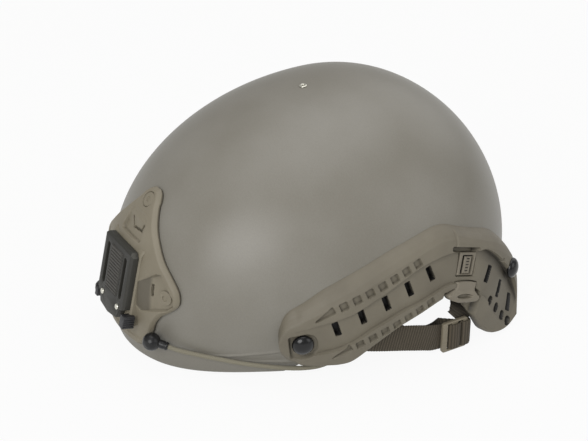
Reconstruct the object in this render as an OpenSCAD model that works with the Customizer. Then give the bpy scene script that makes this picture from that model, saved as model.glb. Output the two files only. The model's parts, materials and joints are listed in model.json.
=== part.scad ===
// High-cut combat helmet with front shroud and side rails.
// Millimetres. Z is up and the wearer faces -Y. Shapes are drawn from the shell's widest
// section (y = 0) and moved at the end so that the part is centred over the origin.

/* [Shell] */
// widest outside width of the shell
shell_w = 234; // [200:1:260]
// reach of the shell from its widest section to the front
shell_front = 162.4; // [140:0.1:180]
// reach of the shell from its widest section to the nape
shell_rear = 115.7; // [95:0.1:135]
// height of the widest section over the brim
belt_z = 39.9; // [30:0.1:50]
// height of the crown over the widest section
crown_h = 118.6; // [100:0.1:135]
// squareness of the plan section, 2 is an ellipse
squareness = 2.05; // [2:0.01:2.6]
// how far the front brim is drawn in at its lower edge
tuck = 12.6; // [0:0.1:16]
// wall of the composite shell
wall = 7.6; // [5:0.1:10]
// highest point of the ear cut
ear_z = 54; // [30:1:65]
// swell of the band along the brim
band_h = 0.8; // [0:0.1:1.5]
// height of the band along the brim
band_z = 17; // [8:1:22]
// outside diameter of the crown eyelet
eyelet_d = 5.2; // [4:0.1:8]
// bore of the crown eyelet
eyelet_bore = 2.2; // [1:0.1:4]

/* [Rails] */
// stand-off of the rail's face from the shell, front arm
rail_face = 8; // [5:0.1:12]
// stand-off of the rail's face at the rear end
rail_rear_face = 14; // [8:0.1:16]
// depth of the long channel in the rail
channel_depth = 2.1; // [0.5:0.1:3]
// depth of the channel under the upper flange of the rear arm
rear_depth = 5; // [2:0.1:7]
// pitch of the square notches along the arm
notch_pitch = 8.5; // [6:0.1:10]
// number of notches in each row
notch_n = 7; // [3:1:8]
// width of a notch along the arm
notch_w = 5.2; // [3:0.1:6.5]
// depth of a notch
notch_depth = 1.8; // [0.5:0.1:3]
// slope of the front arm
arm_angle = 20; // [10:0.5:30]
// number of through slots in the front arm
slot_n = 5; // [1:1:5]
// width of a through slot
slot_w = 3.4; // [2:0.1:5]
// length of a through slot
slot_len = 9.6; // [5:0.1:14]
// diameter of the rail screw's domed head
screw_head_d = 13.4; // [9:0.1:16]
// height of the rail screw's domed head
screw_head_h = 4.2; // [2:0.1:6]
// shank diameter of every screw in the shell
screw_d = 5; // [3:0.1:6]

/* [Strap plug] */
// width of the plug's tongue that slides up behind the rail's corner
plug_w = 17; // [12:0.5:19]
// length of the plug's tongue above its neck
plug_len = 20; // [12:0.5:22]
// thickness of the plug's tongue
plug_t = 3; // [2:0.1:3.3]
// width of the plug's neck
neck_w = 19.6; // [15:0.1:22]
// width of the plug's flared finger lip
lip_w = 33; // [24:0.5:36]
// stand-off of the lip's edge from the shell
lip_face = 10.2; // [9:0.1:14]
// travel of the plug when it is drawn out
plug_travel = 22; // [5:1:24]
// width of the latch insert in the rail's corner
insert_w = 17.2; // [14:0.1:20]
// height of the latch insert
insert_h = 15.8; // [12:0.1:18]
// width of the ribbed latch tongue
tongue_w = 6.6; // [4:0.1:9]
// length of the ribbed latch tongue
tongue_len = 13; // [8:0.1:14]

/* [Front shroud] */
// thickness of the moulded frame over the shell
frame_t = 4.6; // [3:0.1:7]
// width of the metal insert plate
plate_w = 40; // [30:0.5:50]
// height of the metal insert plate
plate_h = 50; // [40:0.5:60]
// thickness of the metal insert plate
plate_t = 5.2; // [3:0.1:7]
// lean of the plate, bottom forward
plate_tilt = 13.3; // [0:0.1:20]
// distance between the centres of the plate's two long slots
plate_slot_gap = 25.2; // [18:0.1:32]
// width of the plate's long slots
plate_slot_w = 3.8; // [2:0.1:6]
// length of the plate's long slots
plate_slot_len = 29; // [15:0.5:36]
// distance between the two rivets under the slots
rivet_gap = 22.6; // [15:0.1:30]
// travel of a thumb catch
catch_travel = 2.4; // [1:0.1:4]

/* [Straps and cord] */
// width of the chin strap webbing
web_w = 19; // [15:0.5:25]
// thickness of the webbing
web_t = 1.5; // [1:0.1:2.5]
// diameter of the elastic cord
cord_d = 3.2; // [2:0.1:5]
// diameter of the hook's ball knob
knob_d = 9; // [6:0.5:12]

/* [Liner] */
// thickness of the liner pads
pad_t = 15; // [8:0.5:22]

/* [Hidden] */
// running clearance between pieces that move or seat on each other
gap = 0.3;
// clearance of the faceted pieces that lie on the shell
seat = 0.6;
$fn = 40;
half_w = shell_w / 2;
// forward shift that centres the part over the origin
shift_y = 31.5;

// The shell's surface
function clamp(v, lo, hi) = max(lo, min(hi, v));
function ease(v) = let (c = clamp(v, 0, 1)) c * c * (3 - 2 * c);
function mix(a, b, f) = a + (b - a) * f;
function unit(v) = v / norm(v);
// share of the brim's tuck at a place y, all of it in front and little at the ears
function tuck_share(y) = clamp(0.12 - y / 95, 0.12, 1);
function swell(z) = z > belt_z ? sqrt(max(0, 1 - pow((z - belt_z) / crown_h, 2))) : 1;
function below(z) = z < belt_z ? pow((belt_z - z) / belt_z, 2) : 0;
// half width and reach of the section at height z
function semi_x(z, y) = half_w * swell(z) - tuck * tuck_share(y) * below(z);
function semi_y(z, y) = (y < 0 ? shell_front : shell_rear) * swell(z);
function slope_x(z, y) = (semi_x(z + 0.05, y) - semi_x(z - 0.05, y)) / 0.1;
function slope_y(z, y) = (semi_y(z + 0.05, y) - semi_y(z - 0.05, y)) / 0.1;
// outward direction at a point of the surface
function out_dir(p) =
    let (a = semi_x(p.z, p.y), b = semi_y(p.z, p.y), n = squareness)
    let (fx = pow(abs(p.x) / a, n - 1) / a * sign(p.x))
    let (fy = pow(abs(p.y) / b, n - 1) / b * sign(p.y))
    let (fz = pow(abs(p.x) / a, n) * slope_x(p.z, p.y) / a + pow(abs(p.y) / b, n) * slope_y(p.z, p.y) / b)
    unit([fx, fy, -fz]);
// point on the left flank from its place y and height z
function flank(y, z) =
    let (n = squareness)
    [semi_x(z, y) * pow(max(0, 1 - pow(abs(y) / semi_y(z, y), n)), 1 / n), y, z];
// point on the front from its place x and height z
function brow(x, z) =
    let (n = squareness, a = semi_x(z, -shell_front))
    [x, -semi_y(z, -1) * pow(max(0, 1 - pow(abs(x) / a, n)), 1 / n), z];
// point from the turn t (0 = left, -90 = front) and the height z
function reach(t, a, b) =
    pow(pow(abs(cos(t)) / a, squareness) + pow(abs(sin(t)) / b, squareness), -1 / squareness);
function round_trip(t, z, y) = reach(t, semi_x(z, y), semi_y(z, sin(t))) * sin(t);
function turn(t, z) =
    let (y1 = round_trip(t, z, 0), y2 = round_trip(t, z, y1), y3 = round_trip(t, z, y2))
    let (r = reach(t, semi_x(z, y3), semi_y(z, sin(t))))
    [r * cos(t), r * sin(t), z];
// point on the dome from its place x and y
function dome(x, y) =
    let (n = squareness, b = y < 0 ? shell_front : shell_rear)
    [x, y, belt_z + crown_h * sqrt(max(0, 1 - pow(pow(abs(x) / half_w, n) + pow(abs(y) / b, n), 2 / n)))];
function off(p, d) = p + out_dir(p) * d;
function flank_off(y, z, d) = off(flank(y, z), d);
function brow_off(x, z, d) = off(brow(x, z), d);
function turn_off(t, z, d) = off(turn(t, z), d);
function dome_off(x, y, d) = off(dome(x + 0.001, y + 0.001), d);
// places its children on the flank or the brow, their Z outward and their Y up the shell
module frame_at(p, n, d, roll) {
    u = unit(cross([0, 0, 1], n));
    v = cross(n, u);
    q = p + n * d;
    multmatrix([[u.x, v.x, n.x, q.x], [u.y, v.y, n.y, q.y], [u.z, v.z, n.z, q.z]])
        rotate(roll)
            children();
}
module on_flank(y, z, d = 0, roll = 0) {
    p = flank(y, z);
    frame_at(p, out_dir(p), d, roll) children();
}
module on_brow(x, z, d = 0, roll = 0) {
    p = brow(x, z);
    frame_at(p, out_dir(p), d, roll) children();
}

// Skins, bars and webbing
// closed slab between two surfaces given as functions of u and v, each 0 to 1
module slab(nu, nv, outer, inner) {
    side = (nu + 1) * (nv + 1);
    at = function(s, i, j) s * side + i * (nv + 1) + j;
    quad = function(a, b, c, d) [[a, b, c], [a, c, d]];
    pts = [for (s = [0, 1], i = [0:nu], j = [0:nv]) s == 0 ? outer(i / nu, j / nv) : inner(i / nu, j / nv)];
    faces = [
        for (i = [0:nu - 1], j = [0:nv - 1])
            each quad(at(0, i, j), at(0, i, j + 1), at(0, i + 1, j + 1), at(0, i + 1, j)),
        for (i = [0:nu - 1], j = [0:nv - 1])
            each quad(at(1, i, j), at(1, i + 1, j), at(1, i + 1, j + 1), at(1, i, j + 1)),
        for (i = [0:nu - 1])
            each quad(at(0, i, 0), at(0, i + 1, 0), at(1, i + 1, 0), at(1, i, 0)),
        for (i = [0:nu - 1])
            each quad(at(0, i + 1, nv), at(0, i, nv), at(1, i, nv), at(1, i + 1, nv)),
        for (j = [0:nv - 1])
            each quad(at(0, 0, j + 1), at(0, 0, j), at(1, 0, j), at(1, 0, j + 1)),
        for (j = [0:nv - 1])
            each quad(at(0, nu, j), at(0, nu, j + 1), at(1, nu, j + 1), at(1, nu, j))
    ];
    polyhedron(points = pts, faces = faces);
}
// closed bar from rings of equal size
module bar(rings) {
    m = len(rings[0]);
    n = len(rings);
    pts = [for (r = rings) each r];
    faces = [
        for (i = [0:n - 2], k = [0:m - 1])
            let (a = i * m + k, b = i * m + (k + 1) % m, c = a + m, d = b + m)
            each [[a, b, d], [a, d, c]],
        for (k = [1:m - 2]) [0, k + 1, k],
        for (k = [1:m - 2]) [(n - 1) * m, (n - 1) * m + k, (n - 1) * m + k + 1]
    ];
    polyhedron(points = pts, faces = faces);
}
function along(path, i) =
    unit(path[min(i + 1, len(path) - 1)] - path[max(i - 1, 0)]);
// round tube along a path
module tube(path, r, sides = 8) {
    bar([for (i = [0:len(path) - 1])
        let (t = along(path, i), a = unit(cross(t, [0, 0, 1])), b = cross(a, t))
        [for (k = [0:sides - 1]) path[i] + r * (a * cos(k * 360 / sides) + b * sin(k * 360 / sides))]]);
}
// flat webbing along a path, its width along the direction given for each point
module webbing(path, across, w, t) {
    bar([for (i = [0:len(path) - 1])
        let (d = along(path, i), a = unit(across[i]), n = unit(cross(d, a)), b = cross(n, d))
        [path[i] + b * w / 2 + n * t / 2, path[i] + b * w / 2 - n * t / 2,
         path[i] - b * w / 2 - n * t / 2, path[i] - b * w / 2 + n * t / 2]]);
}
// smooth run through chosen points
function spline(p, steps) = [
    for (i = [0:len(p) - 2])
        let (p0 = p[max(i - 1, 0)], p1 = p[i], p2 = p[i + 1], p3 = p[min(i + 2, len(p) - 1)])
        for (s = [0:steps - 1])
            let (f = s / steps)
            0.5 * (2 * p1 + (p2 - p0) * f + (2 * p0 - 5 * p1 + 4 * p2 - p3) * f * f
                + (3 * p1 - p0 - 3 * p2 + p3) * f * f * f),
    p[len(p) - 1]
];
module rounded(w, h, r) {
    hull()
        for (x = [-1, 1], y = [-1, 1])
            translate([x * (w / 2 - r), y * (h / 2 - r)])
                circle(r);
}
// mirrors its children to the wearer's right
module right() {
    mirror([1, 0, 0]) children();
}

// Places on the shell
rail_screws_at = [[-87, 35.6], [61, 45]];
shroud_screws_at = [[0, 100.7], [44, 57.5], [-44, 57.5]];
plug_at = [20.5, 57.1];
plug_roll = -19;

// lower edge of the shell at the turn t
function front_rise(t) = 5.5 * ease((t + 80) / 30);
function ear_cut(t) = ear_z * pow(max(0, sin(180 * clamp((t + 52) / 96, 0, 1))), 1.35);
function edge_z(t) =
    let (a = t > 90 ? 180 - t : t < -90 ? -180 - t : t)
    max(0, a < -20 ? max(front_rise(a), ear_cut(a)) : ear_cut(a));
// height of level j in the column whose lower edge is at e
levels = [0, 6, 13, band_z - 1.5, band_z + 1.5, 27, belt_z, 54, 72];
level_n = 19;
fold_z = 72;
function level(j, e) =
    let (k = len(levels))
    j < k ? e + levels[j] * (fold_z - e) / fold_z
    : belt_z + crown_h * sin(mix(asin((fold_z - belt_z) / crown_h), 90, (j - k + 1) / (level_n - k + 1)));
// the band fades out behind the ear cuts
function band(z, t) = band_h * (1 - ease((z - band_z + 2) / 4)) * ease(-sin(t) * 2);
columns = 80;
module shell_body() {
    at = function(s, i, j) s * (columns * level_n + 1) + (i % columns) * level_n + j;
    top = function(s) s * (columns * level_n + 1) + columns * level_n;
    col = function(i) -180 + i * 360 / columns;
    pt = function(s, i, j) let (t = col(i), z = level(j, edge_z(t)), p = turn_off(t, z, s == 0 ? band(z, t) : -wall))
        [p.x, p.y, j == 0 ? z : max(0.5, p.z)];
    pts = [for (s = [0, 1]) each [
        for (i = [0:columns - 1], j = [0:level_n - 1]) pt(s, i, j),
        [0, 0, belt_z + crown_h - s * wall]
    ]];
    quad = function(a, b, c, d) [[a, b, c], [a, c, d]];
    faces = [
        for (i = [0:columns - 1], j = [0:level_n - 2])
            each quad(at(0, i, j), at(0, i, j + 1), at(0, i + 1, j + 1), at(0, i + 1, j)),
        for (i = [0:columns - 1], j = [0:level_n - 2])
            each quad(at(1, i, j), at(1, i + 1, j), at(1, i + 1, j + 1), at(1, i, j + 1)),
        for (i = [0:columns - 1]) [at(0, i, level_n - 1), top(0), at(0, i + 1, level_n - 1)],
        for (i = [0:columns - 1]) [at(1, i, level_n - 1), at(1, i + 1, level_n - 1), top(1)],
        for (i = [0:columns - 1])
            each quad(at(0, i, 0), at(0, i + 1, 0), at(1, i + 1, 0), at(1, i, 0))
    ];
    polyhedron(points = pts, faces = faces);
}
// where the eyelet sits on the middle line
eyelet_y = -26.8;
eyelet_z = belt_z + crown_h * sqrt(1 - pow(eyelet_y / shell_front, 2));

module shell() {
    color("#85817a")
        difference() {
            shell_body();
            for (s = shroud_screws_at)
                on_brow(s.x, s.y, -wall - 3)
                    cylinder(d = screw_d + 2 * gap, h = wall + 6);
            for (m = [0, 1])
                mirror([m, 0, 0])
                    for (s = rail_screws_at)
                        on_flank(s.x, s.y, -wall - 3)
                            cylinder(d = screw_d + 2 * gap, h = wall + 6);
            on_brow(0, eyelet_z, -wall - 3)
                cylinder(d = eyelet_d - 1.4 + 2 * gap, h = wall + 6);
        }
}

module crown_rivet() {
    color("#b9b6ac")
        on_brow(0, eyelet_z)
            rotate_extrude()
                polygon([
                    [eyelet_bore / 2, -wall - 0.8],
                    [eyelet_d / 2 - 0.7, -wall - 0.8],
                    [eyelet_d / 2 - 0.7, 0.15],
                    [eyelet_d / 2, 0.15],
                    [eyelet_d / 2, 0.5],
                    [eyelet_d / 2 - 0.5, 0.9],
                    [eyelet_bore / 2 + 0.4, 0.9],
                    [eyelet_bore / 2, 0.5]
                ]);
}

// Front shroud
// half width of the moulded frame at each height, its three lobes and its waist
frame_edge = [
    [12, 23], [18, 26], [24, 30.3], [31, 34.8], [38, 39.9], [44, 46.3], [49, 50.6], [53, 52.6], [57.5, 52.9],
    [62, 50.6], [67, 45.6], [72.5, 39.8], [80, 31.4], [86, 26.6], [92, 21.7], [98, 17.3], [102, 14.8],
    [106, 11.6], [109, 8], [111, 3.5]
];
frame_low = frame_edge[0][0];
frame_top = frame_edge[len(frame_edge) - 1][0];
function frame_half(z) = lookup(z, frame_edge);
module frame_skin() {
    n = len(frame_edge) - 1;
    w = [0, 0.06, 0.14, 0.28, 0.42, 0.58, 0.72, 0.86, 0.94, 1];
    rise = [0.42, 0.86, 1, 1, 1, 1, 1, 1, 0.86, 0.42];
    row = function(i) frame_edge[round(i * n)][0];
    pt = function(u, v, d) let (j = round(u * 9), z = row(v), x = (2 * w[j] - 1) * frame_half(z))
        let (edge = z > frame_top - 1.2 || z < frame_low + 1 ? 0.6 : 1, behind = (j == 4 || j == 5) && z > 26 && z < 78 ? 0.7 : 1)
        brow_off(x, z, band(z, -90) + (d < 0 ? seat : frame_t * rise[j] * edge * behind));
    slab(9, n, function(u, v) pt(u, v, 1), function(u, v) pt(u, v, -1));
}
// middle of the plate's back face
plate_z = 53;
plate_y = -170.6 + plate_t;
module at_plate() {
    translate([0, plate_y, plate_z])
        rotate([90 - plate_tilt, 0, 0])
            children();
}
module plate_outline(w, h) {
    polygon([
        [-w / 2, h / 2 - 3], [-w / 2 + 3, h / 2], [w / 2 - 3, h / 2], [w / 2, h / 2 - 3],
        [w / 2, -h / 2 + 10], [w / 2 - 5, -h / 2 + 8], [w / 2 - 8, -h / 2 + 1], [0, -h / 2 - 1],
        [-w / 2 + 8, -h / 2 + 1], [-w / 2 + 5, -h / 2 + 8], [-w / 2, -h / 2 + 10]
    ]);
}
module pedestal() {
    // block between the frame and the plate, its back following the shell's middle line
    steps = 8;
    lo = plate_z - plate_h / 2 - 2;
    hi = plate_z + plate_h / 2 + 1;
    back = [for (i = [0:steps]) let (z = mix(lo, hi, i / steps), p = brow_off(0, z, seat + 0.9)) [p.y, p.z]];
    front_y = function(z) plate_y + gap + (z - plate_z) * tan(plate_tilt);
    rotate([90, 0, 90])
        translate([0, 0, -plate_w / 2 - 1])
            linear_extrude(plate_w + 2)
                polygon(concat(back, [[front_y(hi) + 3, hi], [front_y(hi) + 0.6, hi - 1.4], [front_y(lo) + 1.2, lo]]));
}
module shroud_frame() {
    color("#827d70")
        difference() {
            union() {
                frame_skin();
                pedestal();
            }
            // dished side lobes
            for (m = [0, 1])
                mirror([m, 0, 0])
                    on_brow(37, 55.5, frame_t - 2.2)
                        linear_extrude(8)
                            hull() {
                                translate([-11.5, -1]) circle(4.5);
                                translate([-11.5, -8]) circle(3.5);
                                translate([1, 11]) circle(4);
                                translate([7.5, 0]) circle(4.6);
                            }
            // narrow slot in each dish
            for (m = [0, 1])
                mirror([m, 0, 0])
                    on_brow(34.5, 56.5, frame_t - 3.8)
                        linear_extrude(8)
                            square([1.6, 8.5], center = true);
            // recessed panel in the top arm with its latch window
            on_brow(0, 88, frame_t - 1.4)
                linear_extrude(8)
                    hull() {
                        translate([-12, -6]) circle(2.5);
                        translate([12, -6]) circle(2.5);
                        translate([-6, 5]) circle(2.5);
                        translate([6, 5]) circle(2.5);
                    }
            on_brow(0, 88, frame_t - 3.6)
                linear_extrude(8)
                    difference() {
                        square([15, 6.4], center = true);
                        translate([0, -1.4]) square([11.4, 6.4], center = true);
                    }
            for (s = shroud_screws_at)
                on_brow(s.x, s.y, -1)
                    cylinder(d = screw_d + 2 * gap, h = 12);
            for (s = shroud_screws_at)
                on_brow(s.x, s.y, 1.9)
                    cylinder(d = 9.4 + 2 * gap, h = 12);
            // pockets in which the thumb catches slide
            for (m = [0, 1])
                mirror([m, 0, 0])
                    at_plate()
                        translate([plate_w / 2 - 8.5, -plate_h / 2 - 6, -5])
                            cube([20, 15.6, 5.4]);
        }
}
module long_slot(w, h, depth) {
    translate([-w / 2, w / 2 - h / 2, 0]) cube([w, h - w, depth]);
    for (s = [-1, 1])
        translate([0, s * (h - w) / 2, 0]) cylinder(d = w, h = depth);
}
pad_seat_w = plate_slot_gap - plate_slot_w - 4.8;
pad_seat_h = plate_slot_len + 2;
pad_sink = 0.9;
pad_low = -11;
rivet_y = -plate_h / 2 + 8.5;
rivet_d = 2.6;
rivet_head_d = 4;
rivet_sink = 0.7;
plate_bevel = 2.1;
module shroud_plate() {
    color("#4b4b47")
        at_plate()
            difference() {
                linear_extrude(plate_t)
                    plate_outline(plate_w, plate_h);
                // bevels along the sides and the top
                for (s = [-1, 1])
                    translate([s * plate_w / 2, 0, plate_t])
                        rotate([0, 45, 0])
                            cube([plate_bevel, plate_h + 10, plate_bevel], center = true);
                translate([0, plate_h / 2, plate_t])
                    rotate([45, 0, 0])
                        cube([plate_w + 10, plate_bevel, plate_bevel], center = true);
                for (s = [-1, 1])
                    translate([s * plate_slot_gap / 2, 4.5, -1])
                        long_slot(plate_slot_w, plate_slot_len, plate_t + 2);
                // seat of the ribbed pad
                translate([-pad_seat_w / 2, pad_low, plate_t - pad_sink])
                    cube([pad_seat_w, pad_seat_h, 3]);
                for (s = [-1, 1])
                    translate([s * rivet_gap / 2, rivet_y, -1])
                        cylinder(d = rivet_d + 2 * gap, h = plate_t + 2);
                // seats of the rivets' heads
                for (s = [-1, 1])
                    translate([s * rivet_gap / 2, rivet_y, plate_t - rivet_sink])
                        cylinder(d = rivet_head_d + gap, h = 3);
            }
}
module shroud_pad() {
    w = pad_seat_w - 2 * gap;
    h = pad_seat_h - 2 * gap;
    ribs = 14;
    color("#3f3d3a")
        at_plate()
            translate([-w / 2, pad_low + gap, plate_t - pad_sink + 0.02]) {
                cube([w, h, pad_sink]);
                for (i = [0:ribs - 1])
                    translate([0.4, h * (i + 0.5) / ribs - 0.55, pad_sink - 0.1])
                        cube([w - 0.8, 1.1, 0.7]);
            }
}
module shroud_rivets() {
    r = rivet_d / 2;
    head = rivet_head_d / 2;
    low = plate_t - rivet_sink;
    color("#d8d6c8")
        for (s = [-1, 1])
            at_plate()
                translate([s * rivet_gap / 2, rivet_y, 0.4])
                    rotate_extrude()
                        polygon([
                            [0, 0], [r, 0], [r, low - 0.4], [head, low - 0.4], [head, low + 0.5],
                            [head - 0.4, low + 0.9], [0, low + 1.1]
                        ]);
}
module shroud_covers() {
    color("#7f7a6d")
        for (s = shroud_screws_at)
            on_brow(s.x, s.y, 1.9 + 0.9)
                rotate_extrude()
                    polygon([[0, 0], [4.5, 0], [4.7, 0.3], [4.7, frame_t - 2.9], [4, frame_t - 2.2], [2.6, frame_t - 1.9], [0, frame_t - 1.9]]);
}
module shroud_screws() {
    color("#9a9a96")
        for (s = shroud_screws_at)
            on_brow(s.x, s.y) {
                translate([0, 0, 1.95]) cylinder(d = 8.6, h = 0.8);
                translate([0, 0, -wall - 1]) cylinder(d = screw_d - 0.4, h = wall + 3.2);
            }
}
module shroud_nuts() {
    color("#77776f")
        for (s = shroud_screws_at)
            on_brow(s.x, s.y, -wall - 3)
                difference() {
                    cylinder(d = 13, h = 2.1);
                    translate([0, 0, -1]) cylinder(d = screw_d - 0.4 + 2 * gap, h = 5);
                }
}
module catch_left() {
    // thumb block that stands beside the plate's lower corner, ribbed on its outer side
    color("#262628")
        at_plate()
            translate([plate_w / 2 - 3.6, -plate_h / 2 - 3.5, 0]) {
                translate([0, 0, -4.3]) cube([7.4, 12, 11.2]);
                for (i = [0:4])
                    translate([7.3, 1 + i * 2.2, -4.3]) cube([0.9, 1.2, 11.2]);
            }
}
module catch_right() {
    right() catch_left();
}

// Side rails and strap plugs
// lower and upper edge of the rail as place y and height z, from the front end to the rear end,
// with the shares of the channel, of the rear stand-off and of the raised corner block
rail_rows = [
    [-98, 29, -99.5, 43, 0, 0, 0], [-94.5, 22, -95.5, 53, 0, 0, 0], [-82, 17.5, -83.5, 61, 0, 0, 0],
    [-70, 16, -74, 67, 0.35, 0, 0], [-63, 15.5, -66, 70.6, 1, 0, 0], [-56, 17, -57, 74.2, 1, 0, 0],
    [-46, 26.5, -45, 78.6, 1, 0, 0], [-36, 33, -35.5, 82, 1, 0, 0], [-25.5, 38.4, -26, 85, 1, 0, 0],
    [-12, 42.5, -11, 88.6, 1, 0, 0], [0.7, 46.2, 3, 91.4, 1, 0, 0], [9, 48, 11, 91.6, 0.9, 0.05, 0],
    [13.5, 45.6, 17, 90.5, 0.9, 0.1, 0], [14, 45.1, 17.8, 90.2, 0.9, 0.11, 1],
    [22.5, 36.7, 31, 84, 1, 0.25, 1], [28, 28, 43, 77, 1, 0.45, 1], [28.5, 27.1, 43.8, 76.5, 1, 0.46, 0],
    [33, 19, 53, 69.5, 1, 0.65, 0], [38.5, 9.5, 61, 60, 1, 0.8, 0], [43, 3.8, 66, 48, 1, 0.9, 0],
    [47, 1.2, 68, 36, 0.6, 0.95, 0], [55, 1.6, 68, 22, 0.2, 1, 0], [62, 5, 66.5, 12, 0, 1, 0]
];
// cross section: share of the height, stand-off as a share of the face, depth share of the channel
rail_cut = [
    [0, 0.8, 0], [0.03, 0.95, 0], [0.17, 1, 0], [0.19, 1, 0], [0.21, 1, 1],
    [0.6, 1, 2], [0.62, 1.04, 0], [0.79, 1, 0], [0.92, 0.56, 0], [1, 0.2, 0]
];
rail_back = [0, 0.06, 0.12, 0.16, 0.22, 0.58, 0.66, 0.78, 0.92, 1];
block_rise = 0.9;
function rail_place(r, w) = [mix(r[0], r[2], w), mix(r[1], r[3], w)];
function rail_outer(r, j) =
    let (c = rail_cut[j], q = rail_place(r, c[0]))
    flank_off(q.x, q.y, mix(rail_face, rail_rear_face, r[5]) * c[1] - (c[2] == 2 ? mix(channel_depth, rear_depth, r[5]) : channel_depth) * min(1, c[2]) * r[4]
        + block_rise * (j == 6 || j == 7 ? r[6] : 0));
// the back is hollow behind the channel and at the standing rear end
function rail_inner(r, j) =
    let (q = rail_place(r, rail_back[j]), hollow = (j > 3 && j < 6) ? 1 : 0)
    flank_off(q.x, q.y, seat + hollow * (r[4] == 1 && r[5] < 0.1 ? 2.7 : 0) + (mix(rail_face, rail_rear_face, r[5]) - rail_face) * 0.9);
module rail_skin() {
    n = len(rail_rows) - 1;
    m = len(rail_cut) - 1;
    slab(n, m,
        function(u, v) rail_outer(rail_rows[round(u * n)], round(v * m)),
        function(u, v) rail_inner(rail_rows[round(u * n)], round(v * m)));
}
// first notch of each row and first slot, as place y and height z
notch_rows = [[-62.7, 58.6], [-53.2, 32.4]];
slot_first = [-67.1, 42.7];
rear_slots_at = [[39.6, 52.2], [51, 36.5], [58.6, 22.4]];
rear_slot_roll = -33;
rear_holes_at = [[43, 31.5], [48, 24.8], [52.8, 18], [57, 11.4]];
rear_hole_d = 3.6;
// long notches at the rows' front ends and the small one in the rear flange
long_notches_at = [[-75.5, 53.6], [-62.5, 26.8]];
flange_notch_at = [59.5, 50];
screw_well = screw_head_d + 2.4;
function rail_face_at(k) = k == 0 ? rail_face : rail_rear_face;
// pocket floor, its depth, and the places in the plug's own frame
pocket_floor = 2.2;
pocket_depth = plug_t + 2 * gap;
insert_base = pocket_floor + pocket_depth + 0.1;
insert_top = rail_face + 1.1;
insert_low = 0.3;
neck_top = -4.6;
lip_top = -11.5;
module at_plug(d) {
    on_flank(plug_at.x, plug_at.y, d, plug_roll) children();
}
module rail_left() {
    step = [cos(arm_angle), sin(arm_angle)] * notch_pitch;
    color("#6f6b60")
        difference() {
            rail_skin();
            for (row = notch_rows, i = [0:notch_n - 1])
                on_flank(row.x + i * step.x, row.y + i * step.y, rail_face - notch_depth, arm_angle)
                    translate([-notch_w / 2, -notch_w / 2, 0])
                        cube([notch_w, notch_w, 8]);
            for (p = long_notches_at)
                on_flank(p.x, p.y, rail_face - notch_depth, arm_angle + 8)
                    translate([-6, -notch_w / 2 + 0.6, 0])
                        cube([12, notch_w - 1.4, 8]);
            for (i = [0:slot_n - 1])
                on_flank(slot_first.x + i * 2 * step.x, slot_first.y + i * 2 * step.y, -1, 10)
                    translate([-slot_w / 2, -slot_len / 2, 0])
                        cube([slot_w, slot_len, 14]);
            for (p = rear_slots_at)
                on_flank(p.x, p.y, -1, rear_slot_roll)
                    translate([-slot_w * 0.4, -slot_len * 0.53, 0])
                        cube([slot_w * 0.8, slot_len * 1.06, 24]);
            for (p = rear_holes_at)
                on_flank(p.x, p.y, rail_face, 0)
                    cylinder(d = rear_hole_d, h = 14);
            on_flank(flange_notch_at.x, flange_notch_at.y, rail_rear_face - 1.5, rear_slot_roll + 16)
                translate([-0.9, -2.8, 0])
                    cube([1.8, 5.6, 8]);
            for (k = [0, 1])
                on_flank(rail_screws_at[k].x, rail_screws_at[k].y, -1)
                    cylinder(d = screw_d + 2 * gap, h = 24);
            for (k = [0, 1])
                on_flank(rail_screws_at[k].x, rail_screws_at[k].y, rail_face_at(k) - 2.6)
                    cylinder(d = screw_well, h = 12);
            // pocket of the strap plug, open downward
            at_plug(pocket_floor)
                translate([-plug_w / 2 - gap, -40, 0])
                    cube([plug_w + 2 * gap, 40 + neck_top + plug_len + gap, pocket_depth]);
            // window of the latch insert
            at_plug(pocket_floor)
                translate([-insert_w / 2 - gap, insert_low - gap, 0])
                    cube([insert_w + 2 * gap, insert_h + 2 * gap, 16]);
            // rounded recess above the insert
            at_plug(4.6)
                translate([-1, 18.2, 0])
                    linear_extrude(12)
                        rounded(29, 3.8, 1.8);
            // seats of the plug's neck and of its flared lip
            at_plug(pocket_floor)
                translate([-neck_w / 2 - gap, -40, 0])
                    cube([neck_w + 2 * gap, 40 + neck_top + gap, 16]);
            at_plug(pocket_floor)
                translate([-lip_w / 2 - 1, -40, 0])
                    cube([lip_w + 2, 40 + lip_top + gap, 16]);
        }
}
module rail_right() {
    right() rail_left();
}
module plug_left() {
    color("#6a665b")
        at_plug(pocket_floor + gap)
            difference() {
                union() {
                    translate([-plug_w / 2, lip_top, 0])
                        cube([plug_w, plug_len + neck_top - lip_top, plug_t]);
                    // neck that fills the gap under the rail's corner, its top an arc
                    linear_extrude(rail_face + 0.9 - pocket_floor - gap)
                        polygon([
                            [-neck_w / 2, lip_top], [-neck_w / 2 + 0.4, neck_top - 1.4], [-neck_w / 4, neck_top - 0.3],
                            [neck_w / 4, neck_top - 0.3], [neck_w / 2 - 0.4, neck_top - 1.4], [neck_w / 2, lip_top]
                        ]);
                    // flared lip
                    for (k = [0:2])
                        linear_extrude([0.72, 0.87, 1][k] * (lip_face - pocket_floor - gap))
                            lip_outline(1 - 0.06 * k, 1.1 * k);
                }
                // finger slot
                translate([0, lip_top - 3.4, lip_face - pocket_floor - 5])
                    linear_extrude(8)
                        rounded(19, 2.6, 1.29);
                // notch that the pressed latch tongue drops into
                translate([-tongue_w / 2 - gap, 1.2, plug_t - 1])
                    cube([tongue_w + 2 * gap, 2.6, 3]);
            }
}
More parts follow.
